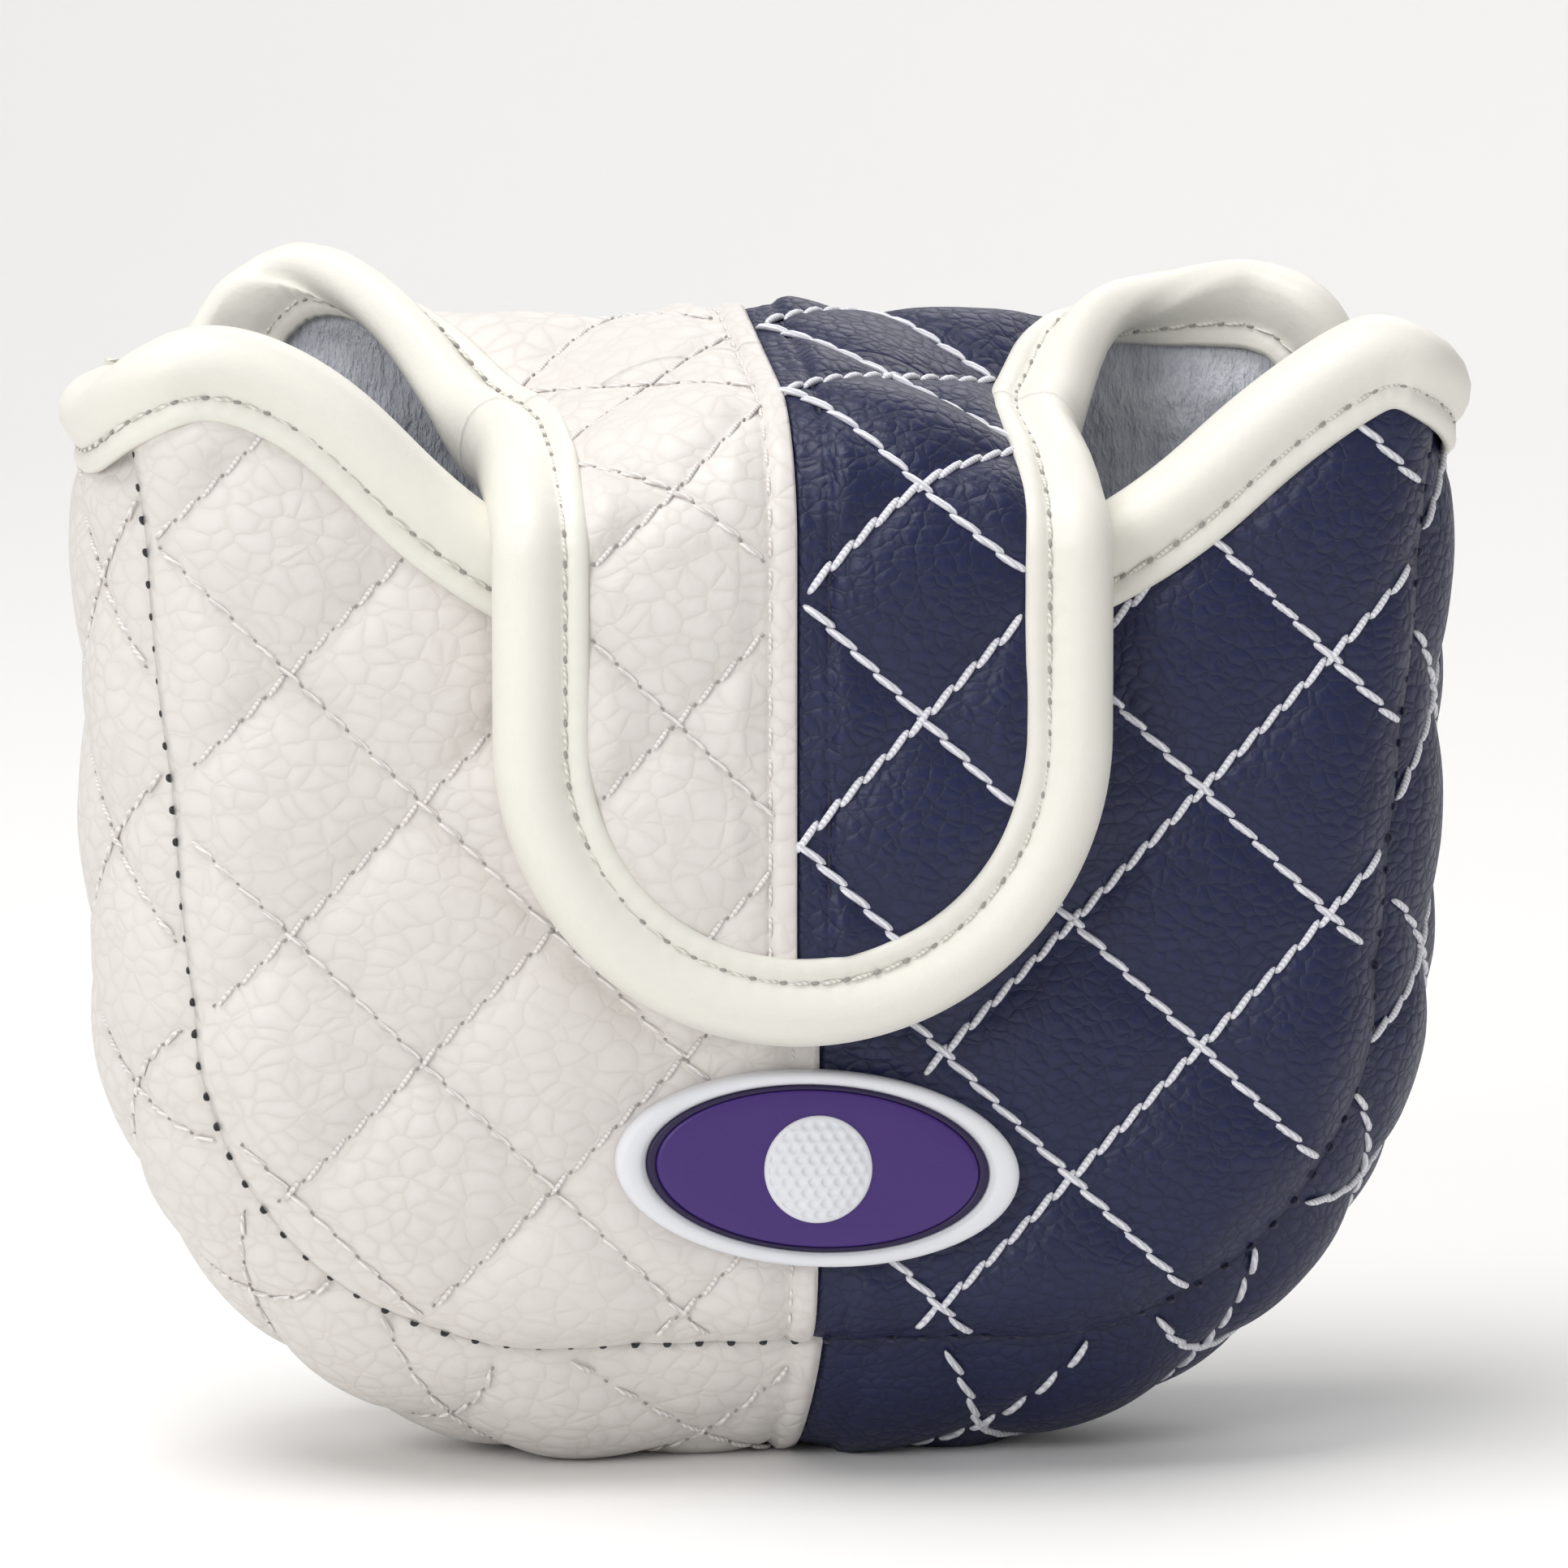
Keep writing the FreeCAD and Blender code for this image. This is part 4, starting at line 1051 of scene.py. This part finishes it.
# Black closing stitches show in the seam between the panels and the gusset.
for name, y in (("front", -SEAM_Y), ("back", SEAM_Y)):
    line = np.stack([panel_path[:, 0], np.full(len(panel_path), y), panel_path[:, 1]], 1)
    normal = line - (0, 0, 60.0)
    normal[:, 1] = 0
    normal /= np.linalg.norm(normal, axis=1, keepdims=True)
    normal[:, 1] = np.sign(y)
    place, heading, normal = on_line(line + normal * 0.25, normal, 3.1)
    for colour, finish, mask in (("white", BLACK_THREAD, place[:, 0] < FRONT_SEAM_X),
                                 ("navy", NAVY_THREAD, place[:, 0] >= FRONT_SEAM_X)):
        thread = stitches(f"{name}_closing_stitches_{colour}", place[mask], heading[mask], normal[mask],
                          0.85, 0.25, finish, f"{colour}_leather")
        follow(thread, "pouch")

# ---- badge ----

def badge_disc(name, profile, finish):
    """An oval moulded piece: rings at shares of the radius, each at a height off the panel, with the
    oval's two half widths as scales and a flat back."""
    turn = np.linspace(0, 2 * math.pi, 96, endpoint=False)
    share = np.array([p[0] for p in profile])[:, None]
    level = np.broadcast_to(np.array([p[1] for p in profile])[:, None], (len(profile), 96))
    along = share * np.cos(turn) * BADGE["wide"]
    up = share * np.sin(turn) * BADGE["high"]
    c, s = math.cos(BADGE["tilt"]), math.sin(BADGE["tilt"])
    x = BADGE["x"] + along * c - up * s
    z = BADGE["z"] + along * s + up * c
    points = np.stack([x, -BADGE_Y - level, z], -1)
    return outside(shape(name, points, rings(points), finish))


# The badge's oval pieces, each as rows of share of the radius and height.
BASE = [(0.02, 0.9), (0.3, 0.9), (0.6, 0.9), (0.82, 0.9), (0.845, 0.95), (0.86, 1.25), (0.875, 1.75),
        (0.89, 1.98), (0.92, 2.1), (0.95, 2.1), (0.975, 1.98), (0.993, 1.7), (1.0, 1.3), (1.0, 0.3),
        (0.99, 0.05), (0.97, -0.1), (0.6, -0.1), (0.02, -0.1)]
FIELD = [(0.02, 1.5), (0.3, 1.5), (0.6, 1.5), (0.77, 1.5), (0.79, 1.46), (0.8, 1.3), (0.8, 0.7), (0.02, 0.7)]
OUTLINE = [(0.80, 0.7), (0.80, 1.3), (0.815, 1.42), (0.835, 1.42), (0.85, 1.3), (0.85, 0.7)]
for name, profile, finish, slot, replaced in (
        ("badge_rim_and_back", BASE, BADGE_WHITE, "badge_white", ["badge_base"]),
        ("badge_field", FIELD, BADGE_PURPLE, "badge_purple", ["badge_inlay"]),
        ("badge_outline", OUTLINE, BADGE_LINE, "badge_purple", [])):
    made = badge_disc(name, profile, finish)
    if replaced:
        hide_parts(*replaced)
    follow(made, "pouch")


def golf_ball():
    """The ball emblem: a shallow dome on a fine grid of rings, dented by round dimples set on a
    triangular lattice, each a parabola deep."""
    radius = 5.2
    ring = np.linspace(0.01, 1, 44)[:, None]
    turn = np.linspace(0, 2 * math.pi, 132, endpoint=False)[None, :]
    a, b = ring * np.cos(turn) * radius, ring * np.sin(turn) * radius
    dome = 1.5 + 1.1 * np.sqrt(np.clip(1 - (ring * 0.985) ** 2, 0, 1)) + 0 * turn
    pitch = 1.25
    row_pitch = pitch * 0.866
    row = np.round(b / row_pitch)
    shift = (row % 2) * pitch / 2
    col = np.round((a - shift) / pitch)
    gap = np.hypot(a - shift - col * pitch, b - row * row_pitch)
    dome = dome - 0.26 * np.clip(1 - (gap / 0.5) ** 2, 0, 1) * (ring < 0.93)
    back = np.array([[1.0, 0.9], [0.02, 0.9]])
    a = np.vstack([a, back[:, :1] * np.cos(turn) * radius])
    b = np.vstack([b, back[:, :1] * np.sin(turn) * radius])
    dome = np.vstack([dome, np.broadcast_to(back[:, 1:], (2, dome.shape[1]))])
    points = np.stack([BADGE["x"] + a, -BADGE_Y - dome, BADGE["z"] + b], -1)
    return outside(shape("badge_golf_ball", points, rings(points), BADGE_WHITE))


ball = golf_ball()
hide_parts("badge_ball")
follow(ball, "pouch")

# ---- the pieces kept from the frame ----

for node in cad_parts.values():
    finish = STEEL if node.name.endswith("_magnet") else POCKET
    node.data.materials.clear()
    node.data.materials.append(finish)

# ---- floor, light and camera ----

def backdrop():
    """A floor that curves up into a wall: a profile of floor, quarter circle and wall, carried across.
    """
    turn = np.linspace(0, math.pi / 2, 24)
    floor = [(-3000.0, 0.0), (900.0, 0.0)]
    bend = [(900 + 600 * math.sin(t), 600 - 600 * math.cos(t)) for t in turn[1:]]
    profile = floor + bend + [(1500.0, 4000.0)]
    points = np.array([(x, y, z) for y, z in profile for x in (-4000.0, 4000.0)])
    mesh = bpy.data.meshes.new("studio_sweep")
    mesh.from_pydata((points * MM).tolist(), [], quads(len(profile), 2).tolist())
    mesh.polygons.foreach_set("use_smooth", np.ones(len(mesh.polygons), bool))
    f = Finish("studio_paper")
    grain = f.noise(f.place(), 40.0, 3.0)
    colour = f.mix(grain * 0.3, (0.90, 0.895, 0.885), (0.88, 0.875, 0.865))
    mesh.materials.append(f.set(Base_Color=colour, Roughness=0.9, Specular_IOR_Level=0.1))
    made = bpy.data.objects.new("studio_sweep", mesh)
    bpy.context.scene.collection.objects.link(made)
    made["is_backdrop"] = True


backdrop()


def soft_light(name, place, target, size, power, tint=(1, 1, 1)):
    """A square studio light at a place, turned to its target."""
    data = bpy.data.lights.new(name, "AREA")
    data.size = size
    data.energy = power
    data.color = tint
    made = bpy.data.objects.new(name, data)
    made.location = place
    made.rotation_euler = (Vector(target) - Vector(place)).to_track_quat("-Z", "Y").to_euler()
    bpy.context.scene.collection.objects.link(made)
    return made


soft_light("top_light", (-0.25, -0.15, 0.95), (0, 0, 0.03), 0.6, 6.2, (1.0, 0.99, 0.975))
soft_light("front_light", (-0.75, -0.95, 0.6), (0, 0, 0.06), 0.5, 5.0)
soft_light("back_light", (0.5, 1.0, 0.9), (0, 0.1, 0.05), 0.9, 4.0)

world = bpy.data.worlds.new("studio_air")
bpy.context.scene.world = world
world.use_nodes = True
world.node_tree.nodes["Background"].inputs["Color"].default_value = (1.0, 1.0, 1.0, 1)
world.node_tree.nodes["Background"].inputs["Strength"].default_value = 0.5

TARGET = Vector((0.0008, -0.010, 0.0667))
DISTANCE = 1.0
SEEN_WIDTH = 0.1515
camera = bpy.data.objects.new("camera", bpy.data.cameras.new("camera"))
azimuth, elevation = math.radians(-7.3), math.radians(8.0)
aim = Vector((math.sin(azimuth) * math.cos(elevation), -math.cos(azimuth) * math.cos(elevation),
              math.sin(elevation)))
camera.location = TARGET + DISTANCE * aim
camera.rotation_euler = (TARGET - camera.location).to_track_quat("-Z", "Y").to_euler()
camera.data.sensor_width = 36
camera.data.lens = 36 * DISTANCE / SEEN_WIDTH
camera.data.clip_start = 0.05
camera.data.clip_end = 20
bpy.context.scene.collection.objects.link(camera)
bpy.context.scene.camera = camera
bpy.context.scene.view_settings.view_transform = "Standard"

bpy.context.view_layer.update()
low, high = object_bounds()
